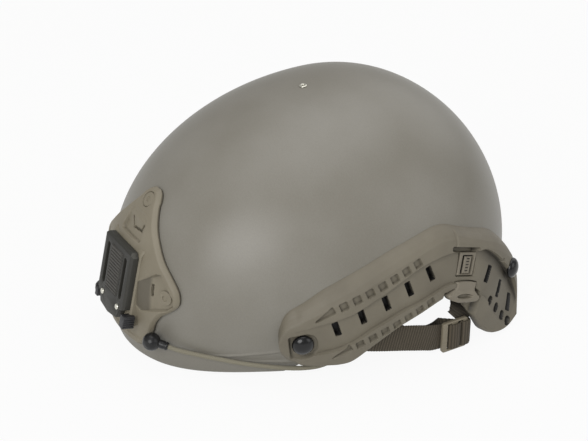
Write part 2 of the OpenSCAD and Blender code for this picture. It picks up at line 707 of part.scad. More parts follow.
// outline of the lip, drawn in by a share s and cut off at a distance top under its upper edge
module lip_outline(s, top) {
    w = lip_w / 2 * s;
    polygon([
        [-neck_w / 2, lip_top - top], [-w, lip_top - 2.9 - top], [-w + 1, lip_top - 5.2], [-w + 5.6, lip_top - 7.6],
        [0, lip_top - 8.6], [w - 5.6, lip_top - 7.6], [w - 1, lip_top - 5.2], [w, lip_top - 2.9 - top], [neck_w / 2, lip_top - top]
    ]);
}
module plug_right() {
    right() plug_left();
}
// the latch tongue and the pivot at its upper end, in the plug's own frame
tongue_side = 1.4;
tongue_t = 1.9;
tongue_ribs = 5;
tongue_low = insert_low + 0.2;
pivot_d = 1.2;
pivot_y = tongue_low + tongue_len - tongue_t / 2;
pivot_z = insert_top - tongue_t / 2;
pivot_grip = 1.6;
module pivot_bar(d, reach) {
    translate([0, pivot_y, pivot_z])
        rotate([0, 90, 0])
            cylinder(d = d, h = 2 * reach, center = true);
}
// fixed frame in the rail's window, open below, with the latch tongue between its arms
module insert_left() {
    window = tongue_w + 2 * tongue_side;
    color("#757164")
        at_plug(0)
            difference() {
                translate([-insert_w / 2, insert_low, insert_base])
                    cube([insert_w, insert_h, insert_top - insert_base]);
                translate([-window / 2, -1, 0])
                    cube([window, tongue_low + tongue_len + 1.4, insert_top + 1]);
                pivot_bar(pivot_d + gap, window / 2 + pivot_grip + gap);
            }
}
module insert_right() {
    right() insert_left();
}
module latch_left() {
    pitch = (tongue_len - 3.4) / tongue_ribs;
    color("#767266")
        at_plug(0) {
            translate([-tongue_w / 2, tongue_low, insert_top - tongue_t])
                cube([tongue_w, tongue_len - tongue_t / 2, tongue_t]);
            pivot_bar(tongue_t, tongue_w / 2);
            pivot_bar(pivot_d, tongue_w / 2 + tongue_side + pivot_grip);
            for (i = [0:tongue_ribs - 1])
                translate([-tongue_w / 2 + 1, tongue_low + 1.3 + i * pitch, insert_top - 0.1])
                    cube([tongue_w - 2, 1.2, 0.6]);
        }
}
module latch_right() {
    right() latch_left();
}
module domed_screw(head) {
    r = screw_head_d / 2;
    rotate_extrude()
        polygon([
            [0, head + screw_head_h], [r * 0.35, head + screw_head_h * 0.95], [r * 0.62, head + screw_head_h * 0.8],
            [r * 0.84, head + screw_head_h * 0.52], [r * 0.96, head + screw_head_h * 0.24], [r, head],
            [r - 0.6, head - 1.2], [screw_d / 2, head - 1.2], [screw_d / 2, -wall - 1.2], [0, -wall - 1.2]
        ]);
}
module rail_screws() {
    color("#1f1f21")
        for (m = [0, 1])
            mirror([m, 0, 0])
                for (k = [0, 1])
                    on_flank(rail_screws_at[k].x, rail_screws_at[k].y)
                        domed_screw((k == 0 ? rail_face : rail_rear_face) - 1.2);
}
module rail_nuts() {
    color("#77776f")
        for (m = [0, 1])
            mirror([m, 0, 0])
                for (s = rail_screws_at)
                    on_flank(s.x, s.y, -wall - 2.75)
                        difference() {
                            cylinder(d = 14, h = 2.1);
                            translate([0, 0, -1]) cylinder(d = screw_d + 2 * gap, h = 5);
                        }
}

// Elastic cord and hook
cord_off = cord_d / 2 + seat + band_h;
cord_path = spline([
    brow_off(47, 20.5, cord_off + 1.6), brow_off(56, 19.4, cord_off + 0.5), turn_off(-57, 17.2, cord_off),
    turn_off(-49, 14, cord_off + 0.3), turn_off(-43, 11.4, cord_off + 0.5), turn_off(-38.5, 9.6, cord_off + 0.6),
    turn_off(-35.5, 9.6, cord_off + 0.6), turn_off(-33, 12, cord_off + 0.2)
], 4);
module bungee_left() {
    color("#8d8878")
        tube(cord_path, cord_d / 2);
}
module bungee_right() {
    right() bungee_left();
}
module hook_left() {
    color("#232325") {
        // ball knob on the frame's lower corner
        translate(brow_off(37, 22, knob_d / 2 + frame_t + 0.5))
            sphere(d = knob_d);
        // ferrule on the cord
        tube([brow_off(39, 21.6, cord_off + 4.2), brow_off(43.5, 21, cord_off + 2.2), mix(cord_path[0], brow_off(43.5, 21, cord_off + 2.2), 0.12)], cord_d / 2 + 1.2, 10);
    }
}
module hook_right() {
    right() hook_left();
}

// Chin strap
// webbing along a run of places, each with the direction of its width
function run_places(run, steps) = spline([for (r = run) r[0]], steps);
function run_widths(run, steps) = spline([for (r = run) r[1]], steps);
module strap(run, steps = 3) {
    webbing(run_places(run, steps), run_widths(run, steps), web_w, web_t);
}
slider_at = [117.5, 20.2, 12];
slider_t = 2.6;
upright = [0, 0, 1];
// how far the webbing's middle stands off the slider's middle plane
slip = slider_t / 2 + web_t / 2 + 0.3;
function at_slider(x, y, z = 0) = slider_at + [x, y, z];
strap_front_run = [
    [flank_off(-80, 28, -wall - 3.8), [0, 0.1, 1]], [[91.5, -68, 27.5], [0.05, 0.1, 1]], [[96, -61, 27], [0.1, 0.1, 1]],
    [[102, -52.5, 26.3], [0.12, 0.1, 1]], [[110, -43, 25], [0.12, 0.1, 1]], [[114.4, -16, 19.3], upright],
    [[115.9, 0, 15], upright], [at_slider(-slip, -12, 0.4), upright], [at_slider(-slip, -6.4), upright],
    [at_slider(-1.5, -4.7), upright], [at_slider(1.4, -3.9), upright], [at_slider(slip, -2.2), upright],
    [at_slider(slip, 1.6), upright], [at_slider(1.6, 3.4), upright]
];
module strap_front_left() {
    color("#544d3e")
        strap(strap_front_run);
}
module strap_front_right() {
    right() strap_front_left();
}
// rises from behind the slider's upper bar, turning edge on as it passes under the shell's edge
strap_rear_run = [
    [at_slider(-slip - 0.4, -2, 11.6), [0, 1, 0]], [[114.3, 18.2, 25.4], [-0.1, 1, 0]],
    [[112.4, 20, 28], [-0.4, 1, -0.05]], [[106, 26, 29.8], [-0.8, 0.7, -0.3]], [[99.6, 33, 33.2], [-0.5, 0.5, -0.6]],
    [[95.8, 43, 39.5], [-0.2, 0.3, -0.9]], [flank_off(61, 45, -wall - 4), [0, 0.1, -1]]
];
module strap_rear_left() {
    color("#3a352b")
        strap(strap_rear_run, 4);
}
module strap_rear_right() {
    right() strap_rear_left();
}
module slider_left() {
    // ladder slider: outer bars, middle bar and the two slots between them
    color("#55503f")
        translate(slider_at)
            rotate([90, 0, 90])
                difference() {
                    linear_extrude(slider_t, center = true)
                        rounded(20, web_w + 3.8, 2);
                    translate([-6, -web_w / 2 - 0.5, -slider_t])
                        cube([3.2, web_w + 1, slider_t * 2]);
                    translate([2.2, -web_w / 2 - 0.5, -slider_t])
                        cube([4, web_w + 1, slider_t * 2]);
                }
}
module slider_right() {
    right() slider_left();
}

// the lower strap lies on the ground inside the opening
ground = 0.35;
buckle_x = -54;
chin_y = -4;
lie = ground + web_t / 2;
// middles of the bars that the webbing ends are sewn round, and their height
female_bar = buckle_x + 19.9;
male_bar = buckle_x - 18.2;
bar_z = ground + 4.2;
loop = [[8, -3.45], [4, -3.2], [0, -2.6], [-2, -1.7], [-2.6, 0], [-2, 1.8], [0, 2.6], [3, 2.1], [6, -0.6], [9, -1.7]];
flat = [0, 1, 0];
// round the slider's rear bar, down to the ground and along it, then round the buckle's bar
function chin_run(bar_x) = concat(
    [
        [at_slider(0, 5.1), upright], [at_slider(2, 5.3), upright], [at_slider(slip + 0.1, 8), upright],
        [at_slider(1.9, 10.9), upright], [at_slider(0, 11.4), upright], [at_slider(-1.9, 10.9), upright],
        [at_slider(-slip - 0.1, 8), upright], [at_slider(-3.8, 4, -0.3), [0.1, 0, 1]],
        [at_slider(-7, -2, -0.8), [0, 0.2, 1]], [[106.5, 14, 9.2], [-0.2, 0.6, 0.6]],
        [[98, 7.4, 4.6], [-0.35, 0.9, 0.25]], [[89, 0.6, lie + 0.7], [-0.45, 0.9, 0.05]]
    ],
    [for (q = [[78, -3.4], [68, -4], [30, -4], [0, -4]]) if (q.x > bar_x + 10) [[q.x, q.y, lie], flat]],
    [for (q = loop) [[bar_x + q.x, chin_y, bar_z + q.y], flat]]
);
module chin_strap_left() {
    color("#4c4538")
        strap(chin_run(female_bar));
}
module chin_strap_right() {
    color("#4c4538")
        right() strap(chin_run(-male_bar));
}
module chin_cup() {
    // soft moulded cup that the strap passes under
    low = ground + web_t + 0.35;
    w = 58;
    d = 34;
    rim = function(u, v) 1 - 0.2 * pow(abs(2 * u - 1), 6);
    at = function(u, v, t) let (x = (2 * u - 1) * w / 2, y = (2 * v - 1) * d / 2 * rim(u, v))
        [x, chin_y + y, low + t + 7 * pow(2 * x / w, 2) + 6 * pow(2 * y / d, 2)];
    color("#2f2f2d")
        slab(12, 8, function(u, v) at(u, v, 2.6), function(u, v) at(u, v, 0));
}
// leaves a round-edged bar at the webbing end of a buckle half, its middle at x
module web_end(x, dir) {
    translate([x - dir * 2.55 - 1.5, -web_w / 2 - 0.6, -1])
        cube([3, web_w + 1.2, 12]);
    for (z = [[-1, 2.9], [5.5, 12]])
        translate([x - 2.6, -web_w / 2 - 0.6, z[0]])
            cube([5.2, web_w + 1.2, z[1] - z[0]]);
}
module buckle_female() {
    color("#3f3c33")
        translate([buckle_x + 6, chin_y, ground])
            difference() {
                linear_extrude(8)
                    rounded(30, 25, 3);
                // mouth for the prongs
                translate([-20, -8.6, 2]) cube([27, 17.2, 4]);
                // windows that the prongs' buttons show through
                for (s = [-1, 1])
                    translate([-3.2, s * 12.5, 4]) cube([12.6, 9, 20], center = true);
                web_end(13.9, 1);
            }
}
module buckle_male() {
    color("#3f3c33")
        translate([buckle_x - 10, chin_y, ground]) {
            difference() {
                linear_extrude(8)
                    translate([-4.5, 0]) rounded(9.6, 25, 2);
                web_end(-8.2, -1);
            }
            for (s = [-1, 1])
                translate([-0.2, s * 5.2, 2.4])
                    linear_extrude(3.2)
                        polygon([[0, -2 * s], [0, 2.6 * s], [12, 2.6 * s], [13.4, 5.4 * s], [17.5, 5.6 * s], [20, 2 * s], [20, -0.4 * s]]);
        }
}

// Liner pads
// front and rear pad, then the two pads of each side, as turns and heights
pad_places = [[-103.5, -76.5, 30, 80], [67, 113, 24, 64]];
side_pad_places = [[-36, 6, 66, 104], [20, 58, 62, 100]];
pad_lift = 1.8;
crown_pad_w = 92;
crown_pad_y = 12;
function bulge(u, v) =
    pow(max(0, 1 - pow(abs(2 * u - 1), 5)), 0.4) * pow(max(0, 1 - pow(abs(2 * v - 1), 5)), 0.4);
module pad(p) {
    // the rows draw in toward the pad's ends
    place = function(u, v) let (c = 2 * v - 1, s = 1 - 0.16 * pow(abs(c), 4), e = 2 * u - 1)
        [mix(p[0], p[1], 0.5 + 0.5 * e * s), mix(p[2], p[3], 0.5 + 0.5 * c * (1 - 0.1 * pow(abs(e), 4)))];
    color("#3a3a36")
        slab(10, 8,
            function(u, v) let (q = place(u, v)) turn_off(q.x, q.y, -wall - pad_lift),
            function(u, v) let (q = place(u, v)) turn_off(q.x, q.y, -wall - pad_lift - 3 - (pad_t - 3) * bulge(u, v)));
}
module pad_front() {
    pad(pad_places[0]);
}
module pad_rear() {
    pad(pad_places[1]);
}
module pad_left() {
    pad(side_pad_places[0]);
}
module pad_right() {
    right() pad_left();
}
module pad_rear_left() {
    pad(side_pad_places[1]);
}
module pad_rear_right() {
    right() pad_rear_left();
}
module pad_crown() {
    x = function(u) (2 * u - 1) * crown_pad_w / 2;
    y = function(v) crown_pad_y + (2 * v - 1) * crown_pad_w * 0.46;
    color("#3a3a36")
        slab(10, 10,
            function(u, v) dome_off(x(u), y(v), -wall - pad_lift),
            function(u, v) dome_off(x(u), y(v), -wall - pad_lift - 3 - (pad_t - 3) * bulge(u, v)));
}
module patch(t0, t1, z0, z1) {
    f = 0.3;
    slab(4, 4,
        function(u, v) turn_off(mix(t0, t1, f + (1 - 2 * f) * u), mix(z0, z1, f + (1 - 2 * f) * v), -wall - seat),
        function(u, v) turn_off(mix(t0, t1, f + (1 - 2 * f) * u), mix(z0, z1, f + (1 - 2 * f) * v), 0.3 - wall - pad_lift));
}
// hook fastener patches that hold the pads to the shell
module pad_patches() {
    color("#2b2b29") {
        for (p = pad_places)
            patch(p[0], p[1], p[2], p[3]);
        for (p = side_pad_places, m = [0, 1])
            mirror([m, 0, 0])
                patch(p[0], p[1], p[2], p[3]);
        slab(5, 5,
            function(u, v) dome_off((2 * u - 1) * 20, crown_pad_y + (2 * v - 1) * 20, -wall - seat),
            function(u, v) dome_off((2 * u - 1) * 20, crown_pad_y + (2 * v - 1) * 20, 0.5 - wall - pad_lift));
    }
}

// part to draw, or all of them

translate([0, shift_y, 0]) {
    shell();
    crown_rivet();
    shroud_frame();
    shroud_plate();
    shroud_pad();
    shroud_rivets();
    shroud_covers();
    shroud_screws();
    shroud_nuts();
    catch_left();
    catch_right();
    rail_left();
    rail_right();
    insert_left();
    insert_right();
    plug_left();
    plug_right();
    latch_left();
    latch_right();
    rail_screws();
    rail_nuts();
    bungee_left();
    bungee_right();
    hook_left();
    hook_right();
    strap_front_left();
    strap_front_right();
    strap_rear_left();
    strap_rear_right();
    slider_left();
    slider_right();
    chin_strap_left();
    chin_strap_right();
    chin_cup();
    buckle_female();
    buckle_male();
    pad_front();
    pad_rear();
    pad_left();
    pad_right();
    pad_rear_left();
    pad_rear_right();
    pad_crown();
    pad_patches();
}
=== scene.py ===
"""Dresses a high-cut protective helmet: shell, front shroud, side rails, strap plugs, straps, elastic cords and liner.

Sizes are millimetres, measured from the shell's widest section, with the wearer facing -Y. They turn into
the frame's metres when a mesh is made.
"""

import json
import logging
import math
from collections.abc import Sequence
from dataclasses import dataclass, field
from enum import Enum

import bmesh
import bpy
import numpy as np
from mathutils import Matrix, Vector

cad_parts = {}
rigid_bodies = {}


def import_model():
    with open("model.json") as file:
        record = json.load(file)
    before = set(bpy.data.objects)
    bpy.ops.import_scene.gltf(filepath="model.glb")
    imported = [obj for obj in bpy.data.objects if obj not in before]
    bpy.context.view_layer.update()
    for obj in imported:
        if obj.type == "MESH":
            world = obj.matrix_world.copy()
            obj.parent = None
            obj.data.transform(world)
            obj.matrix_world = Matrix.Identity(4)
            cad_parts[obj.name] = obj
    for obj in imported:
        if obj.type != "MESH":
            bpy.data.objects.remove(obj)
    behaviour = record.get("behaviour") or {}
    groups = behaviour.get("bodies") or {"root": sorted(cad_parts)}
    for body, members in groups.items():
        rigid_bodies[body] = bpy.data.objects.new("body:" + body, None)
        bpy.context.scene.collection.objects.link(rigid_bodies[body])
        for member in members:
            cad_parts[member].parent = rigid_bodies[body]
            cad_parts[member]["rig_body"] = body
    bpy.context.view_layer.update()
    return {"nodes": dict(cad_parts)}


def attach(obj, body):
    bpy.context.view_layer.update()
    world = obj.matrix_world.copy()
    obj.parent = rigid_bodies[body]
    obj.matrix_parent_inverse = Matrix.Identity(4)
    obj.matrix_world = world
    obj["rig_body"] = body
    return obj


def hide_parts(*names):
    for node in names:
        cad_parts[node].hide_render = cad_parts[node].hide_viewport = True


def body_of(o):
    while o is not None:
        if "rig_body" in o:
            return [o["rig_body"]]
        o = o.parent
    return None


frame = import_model()
log = logging.getLogger("helmet")

Array = np.ndarray
Node = bpy.types.Node
Socket = bpy.types.NodeSocket
Tree = bpy.types.NodeTree
Places = tuple[tuple[float, float], ...]

MM = 0.001        # metres in a millimetre
SHIFT_Y = 31.5    # from the shell's widest section to the frame's origin
GAP = 0.3         # clearance between pieces that seat on each other
SCREW_END = 3.6   # how far a screw reaches in past the shell's wall
HELMET = "helmet"
UP = np.array([0.0, 0.0, 1.0])
MIRROR = np.array([-1.0, 1.0, 1.0])


class Side(Enum):
    """The wearer's side that a piece belongs to."""

    LEFT = "left"
    RIGHT = "right"

    def place(self, points: Array) -> Array:
        """Returns points drawn for the left, mirrored for the right."""
        return points if self is Side.LEFT else points * MIRROR


def ease(value: Array) -> Array:
    """Returns a smooth step from 0 to 1 as value goes from 0 to 1."""
    c = np.clip(value, 0.0, 1.0)
    return c * c * (3 - 2 * c)


def mix(a: Array, b: Array, share: Array) -> Array:
    """Returns the blend of a and b by share."""
    return a + (b - a) * share


def unit(v: Array) -> Array:
    """Returns v at length 1, along its last axis."""
    v = np.asarray(v, float)
    return v / np.maximum(np.linalg.norm(v, axis=-1, keepdims=True), 1e-12)


def spline(points: Sequence, steps: int) -> Array:
    """Runs a smooth line through chosen points.

    Args:
        points: the points, any number of values each.
        steps: new points for each stretch.

    Returns:
        The points of the line, the last one included.
    """
    p = np.asarray(points, float)
    out = []
    for i in range(len(p) - 1):
        p0, p1, p2, p3 = p[max(i - 1, 0)], p[i], p[i + 1], p[min(i + 2, len(p) - 1)]
        for s in range(steps):
            f = s / steps
            out.append(0.5 * (2 * p1 + (p2 - p0) * f + (2 * p0 - 5 * p1 + 4 * p2 - p3) * f * f
                              + (3 * p1 - p0 - 3 * p2 + p3) * f * f * f))
    return np.array(out + [p[-1]])


def run_along(path: Array) -> Array:
    """Returns how far along a line each of its points lies."""
    return np.concatenate([[0], np.cumsum(np.linalg.norm(np.diff(path, axis=0), axis=1))])


def resample(values: Array, run: Array, at: Array) -> Array:
    """Returns the values at new places along a line, where run has the places of the old ones."""
    return np.stack([np.interp(at, run, column) for column in values.T], -1)


def lattice(first: tuple[float, float, int], second: tuple[float, float, int]) -> tuple[Array, ...]:
    """Returns the two coordinates of a grid, from the start, end and count of each."""
    return np.meshgrid(np.linspace(*first), np.linspace(*second), indexing="ij")


def add_piece(name: str, mesh: bpy.types.Mesh, finish: "Finish", body: str, replaces: Sequence[str],
              crisp: float) -> bpy.types.Object:
    """Makes an object of a mesh, gives it its finish and lets it ride on a body.

    Args:
        name: the piece's name.
        mesh: its mesh.
        finish: its material.
        body: the body it moves with.
        replaces: solids that it stands for.
        crisp: edges sharper than this many degrees stay crisp.

    Returns:
        The new object.
    """
    mesh.shade_smooth()
    mesh.set_sharp_from_angle(angle=math.radians(crisp))
    obj = bpy.data.objects.new(name, mesh)
    bpy.context.scene.collection.objects.link(obj)
    mesh.materials.append(finish.material())
    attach(obj, body)
    if replaces:
        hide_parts(*replaces)
    log.info("%s: %d vertices, %s", name, len(mesh.vertices), finish.name)
    return obj


def box_edge(a: Array, b: Array, wide: float, high: float, radius: float) -> Array:
    """Gives the distance from a rounded rectangle's outline, negative inside.

    Args:
        a: places along the rectangle's width, from its middle.
        b: places along its height, from its middle.
        wide: width.
        high: height.
        radius: radius of the corners.

    Returns:
        The distances.
    """
    x = np.abs(a) - wide / 2 + radius
    y = np.abs(b) - high / 2 + radius
    return np.hypot(np.maximum(x, 0), np.maximum(y, 0)) + np.minimum(np.maximum(x, y), 0) - radius


def shape_edge(a: Array, b: Array, corners: Sequence[tuple[float, float]], radius: float) -> Array:
    """Gives the distance from a rounded outline with straight sides, negative inside.

    Args:
        a: first coordinates.
        b: second coordinates.
        corners: the corners in turn, anticlockwise.
        radius: how far the outline stands off the corners.

    Returns:
        The distances.
    """
    best = np.full(np.shape(a), 1e9)
    inside = np.ones(np.shape(a), bool)
    for (x0, y0), (x1, y1) in zip(corners, [*corners[1:], corners[0]]):
        ex, ey = x1 - x0, y1 - y0
        t = np.clip(((a - x0) * ex + (b - y0) * ey) / (ex * ex + ey * ey), 0, 1)
        best = np.minimum(best, np.hypot(a - x0 - t * ex, b - y0 - t * ey))
        inside &= ex * (b - y0) - ey * (a - x0) > 0
    return np.where(inside, -best, best) - radius


def hollows(height: Array, reach: int, full: float) -> Array:
    """Tells how deep each place lies below the ones round it.

    Args:
        height: heights over a grid.
        reach: how many steps of the grid count as round it.
        full: depth that counts as 1.

    Returns:
        1 at the bottom of a hollow, 0 on the flat and -1 on a sharp edge.
    """
    weights = np.exp(-0.5 * (np.arange(-reach, reach + 1) / (0.45 * reach)) ** 2)
    smooth = height
    for axis in (0, 1):
        wide = np.pad(smooth, [(reach, reach) if k == axis else (0, 0) for k in (0, 1)], mode="edge")
        smooth = sum(w * np.take(wide, range(k, k + height.shape[axis]), axis) for k, w in enumerate(weights))
        smooth = smooth / weights.sum()
    return np.clip((smooth - height) / full, -1, 1)


def sink(height: Array, edge: Array, floor: Array | float, soft: float) -> Array:
    """Lowers a height to a floor inside an outline.

    Args:
        height: heights over the shell.
        edge: distances from the outline, negative inside.
        floor: the floor's height over the shell.
        soft: width of the wall between the two.

    Returns:
        The new heights.
    """
    share = ease(0.5 - edge / soft)
    return mix(height, np.minimum(height, floor), share)


@dataclass(frozen=True)
class Spot:
    """A place on the shell with its own directions."""

    origin: Array
    x: Array
    y: Array
    n: Array

    def local(self, points: Array) -> tuple[Array, Array]:
        """Returns the places of points along the spot's x and y."""
        d = points - self.origin
        return d @ self.x, d @ self.y

    def at(self, a: float, b: float, c: float) -> Array:
        """Returns the point at a along x, b along y and c outward."""
        a, b, c = (np.asarray(v, float)[..., None] for v in (a, b, c))
        return self.origin + self.x * a + self.y * b + self.n * c


@dataclass(frozen=True)
class ShellForm:
    """The helmet's shell as a surface. Every other piece is placed on it."""

    half_w: float = 117.0
    front: float = 162.4
    rear: float = 115.7
    belt_z: float = 39.9
    crown_h: float = 118.6
    squareness: float = 2.05
    tuck: float = 12.6
    wall: float = 7.6
    ear_z: float = 54.0
    band_h: float = 0.8
    band_z: float = 17.0
    crease_h: float = 0.7
    # turn and height of the crease, from the shroud to the rail
    crease_line: Places = (
        (-76, 16.6), (-63.5, 18.0), (-58.2, 19.8), (-53, 22.2), (-47.8, 24.2), (-40, 26.6))

    def swell(self, z: Array) -> Array:
        """Returns the share of the full section that is left at height z."""
        return np.where(z > self.belt_z, np.sqrt(np.maximum(1e-6, 1 - ((z - self.belt_z) / self.crown_h) ** 2)), 1.0)

    def below(self, z: Array) -> Array:
        """Returns how far z lies under the widest section, squared, 1 at the brim."""
        return np.where(z < self.belt_z, ((self.belt_z - z) / self.belt_z) ** 2, 0.0)

    def semi_x(self, z: Array, y: Array) -> Array:
        """Returns the half width of the section at height z, for a place y."""
        return self.half_w * self.swell(z) - self.tuck * np.clip(0.12 - y / 95, 0.12, 1) * self.below(z)

    def semi_y(self, z: Array, y: Array) -> Array:
        """Returns the reach of the section at height z to the front or to the rear."""
        return np.where(y < 0, self.front, self.rear) * self.swell(z)

    def out_dir(self, p: Array) -> Array:
        """Returns the outward direction at points of the surface."""
        x, y, z = p[..., 0], p[..., 1], p[..., 2]
        n, h = self.squareness, 0.05
        a, b = self.semi_x(z, y), self.semi_y(z, y)
        slope_a = (self.semi_x(z + h, y) - self.semi_x(z - h, y)) / (2 * h)
        slope_b = (self.semi_y(z + h, y) - self.semi_y(z - h, y)) / (2 * h)
        u, v = np.abs(x) / a, np.abs(y) / b
        fz = u ** n * slope_a / a + v ** n * slope_b / b
        return unit(np.stack([u ** (n - 1) / a * np.sign(x), v ** (n - 1) / b * np.sign(y), -fz], -1))

    def off(self, p: Array, d: Array | float) -> Array:
        """Returns points of the surface moved outward by d."""
        return p + self.out_dir(p) * np.asarray(d, float)[..., None]

    def flank(self, y: Array, z: Array) -> Array:
        """Returns the point on the left flank at place y and height z."""
        y, z = np.broadcast_arrays(np.asarray(y, float), np.asarray(z, float))
        n = self.squareness
        rest = np.maximum(0, 1 - (np.abs(y) / self.semi_y(z, y)) ** n)
        return np.stack([self.semi_x(z, y) * rest ** (1 / n), y, z], -1)

    def brow(self, x: Array, z: Array) -> Array:
        """Returns the point on the front at place x and height z."""
        x, z = np.broadcast_arrays(np.asarray(x, float), np.asarray(z, float))
        n = self.squareness
        front = np.full(x.shape, -self.front)
        rest = np.maximum(0, 1 - (np.abs(x) / self.semi_x(z, front)) ** n)
        return np.stack([x, -self.semi_y(z, front) * rest ** (1 / n), z], -1)

    def turn(self, t: Array, z: Array) -> Array:
        """Returns the point at the turn t, 0 at the left and -90 in front, and at height z."""
        t, z = np.broadcast_arrays(np.asarray(t, float), np.asarray(z, float))
        c, s = np.cos(np.radians(t)), np.sin(np.radians(t))
        n, y = self.squareness, np.zeros(t.shape)
        for _ in range(4):
            a, b = self.semi_x(z, y), self.semi_y(z, s)
            r = ((np.abs(c) / a) ** n + (np.abs(s) / b) ** n) ** (-1 / n)
            y = r * s
        return np.stack([r * c, r * s, z], -1)

    def dome(self, x: Array, y: Array) -> Array:
        """Returns the point on the dome over the place x, y."""
        x, y = np.broadcast_arrays(np.asarray(x, float) + 1e-3, np.asarray(y, float) + 1e-3)
        n, b = self.squareness, np.where(y < 0, self.front, self.rear)
        rest = np.maximum(0, 1 - ((np.abs(x) / self.half_w) ** n + (np.abs(y) / b) ** n) ** (2 / n))
        return np.stack([x, y, self.belt_z + self.crown_h * np.sqrt(rest)], -1)

    def edge_z(self, t: Array) -> Array:
        """Returns the height of the lower edge at the turn t."""
        a = np.where(t > 90, 180 - t, np.where(t < -90, -180 - t, t))
        wave = np.maximum(0, np.sin(np.pi * np.clip((a + 52) / 96, 0, 1)))
        ear = self.ear_z * wave ** 1.35
        return np.maximum(0, np.where(a < -20, np.maximum(5.5 * ease((a + 80) / 30), ear), ear))

    def band(self, z: Array, t: Array) -> Array:
        """Returns how far the band along the brim stands off the surface."""
        return self.band_h * (1 - ease((z - self.band_z + 1.2) / 1.6)) * ease(-np.sin(np.radians(t)) * 2)

    def crease(self, z: Array, t: Array) -> Array:
        """Returns how far the moulded crease beside the shroud stands off the surface."""
        line = np.array(self.crease_line)
        away = z - np.interp(t, line[:, 0], line[:, 1])
        ends = ease((t - line[0, 0]) / 5) * ease((line[-1, 0] - t) / 5)
        return self.crease_h * ends * np.exp(-(away / 0.8) ** 2)

    def spot(self, p: Array, roll: float, lift: float) -> Spot:
        """Returns the spot at a surface point, turned by roll degrees and lifted outward."""
        n = self.out_dir(p)
        u = unit(np.cross(UP, n))
        v = np.cross(n, u)
        c, s = math.cos(math.radians(roll)), math.sin(math.radians(roll))
        return Spot(p + n * lift, u * c + v * s, v * c - u * s, n)

    def flank_spot(self, y: float, z: float, roll: float = 0.0, lift: float = 0.0) -> Spot:
        """Returns a spot on the left flank."""
        return self.spot(self.flank(y, z), roll, lift)

    def brow_spot(self, x: float, z: float, roll: float = 0.0, lift: float = 0.0) -> Spot:
        """Returns a spot on the front."""
        return self.spot(self.brow(x, z), roll, lift)


FORM = ShellForm()


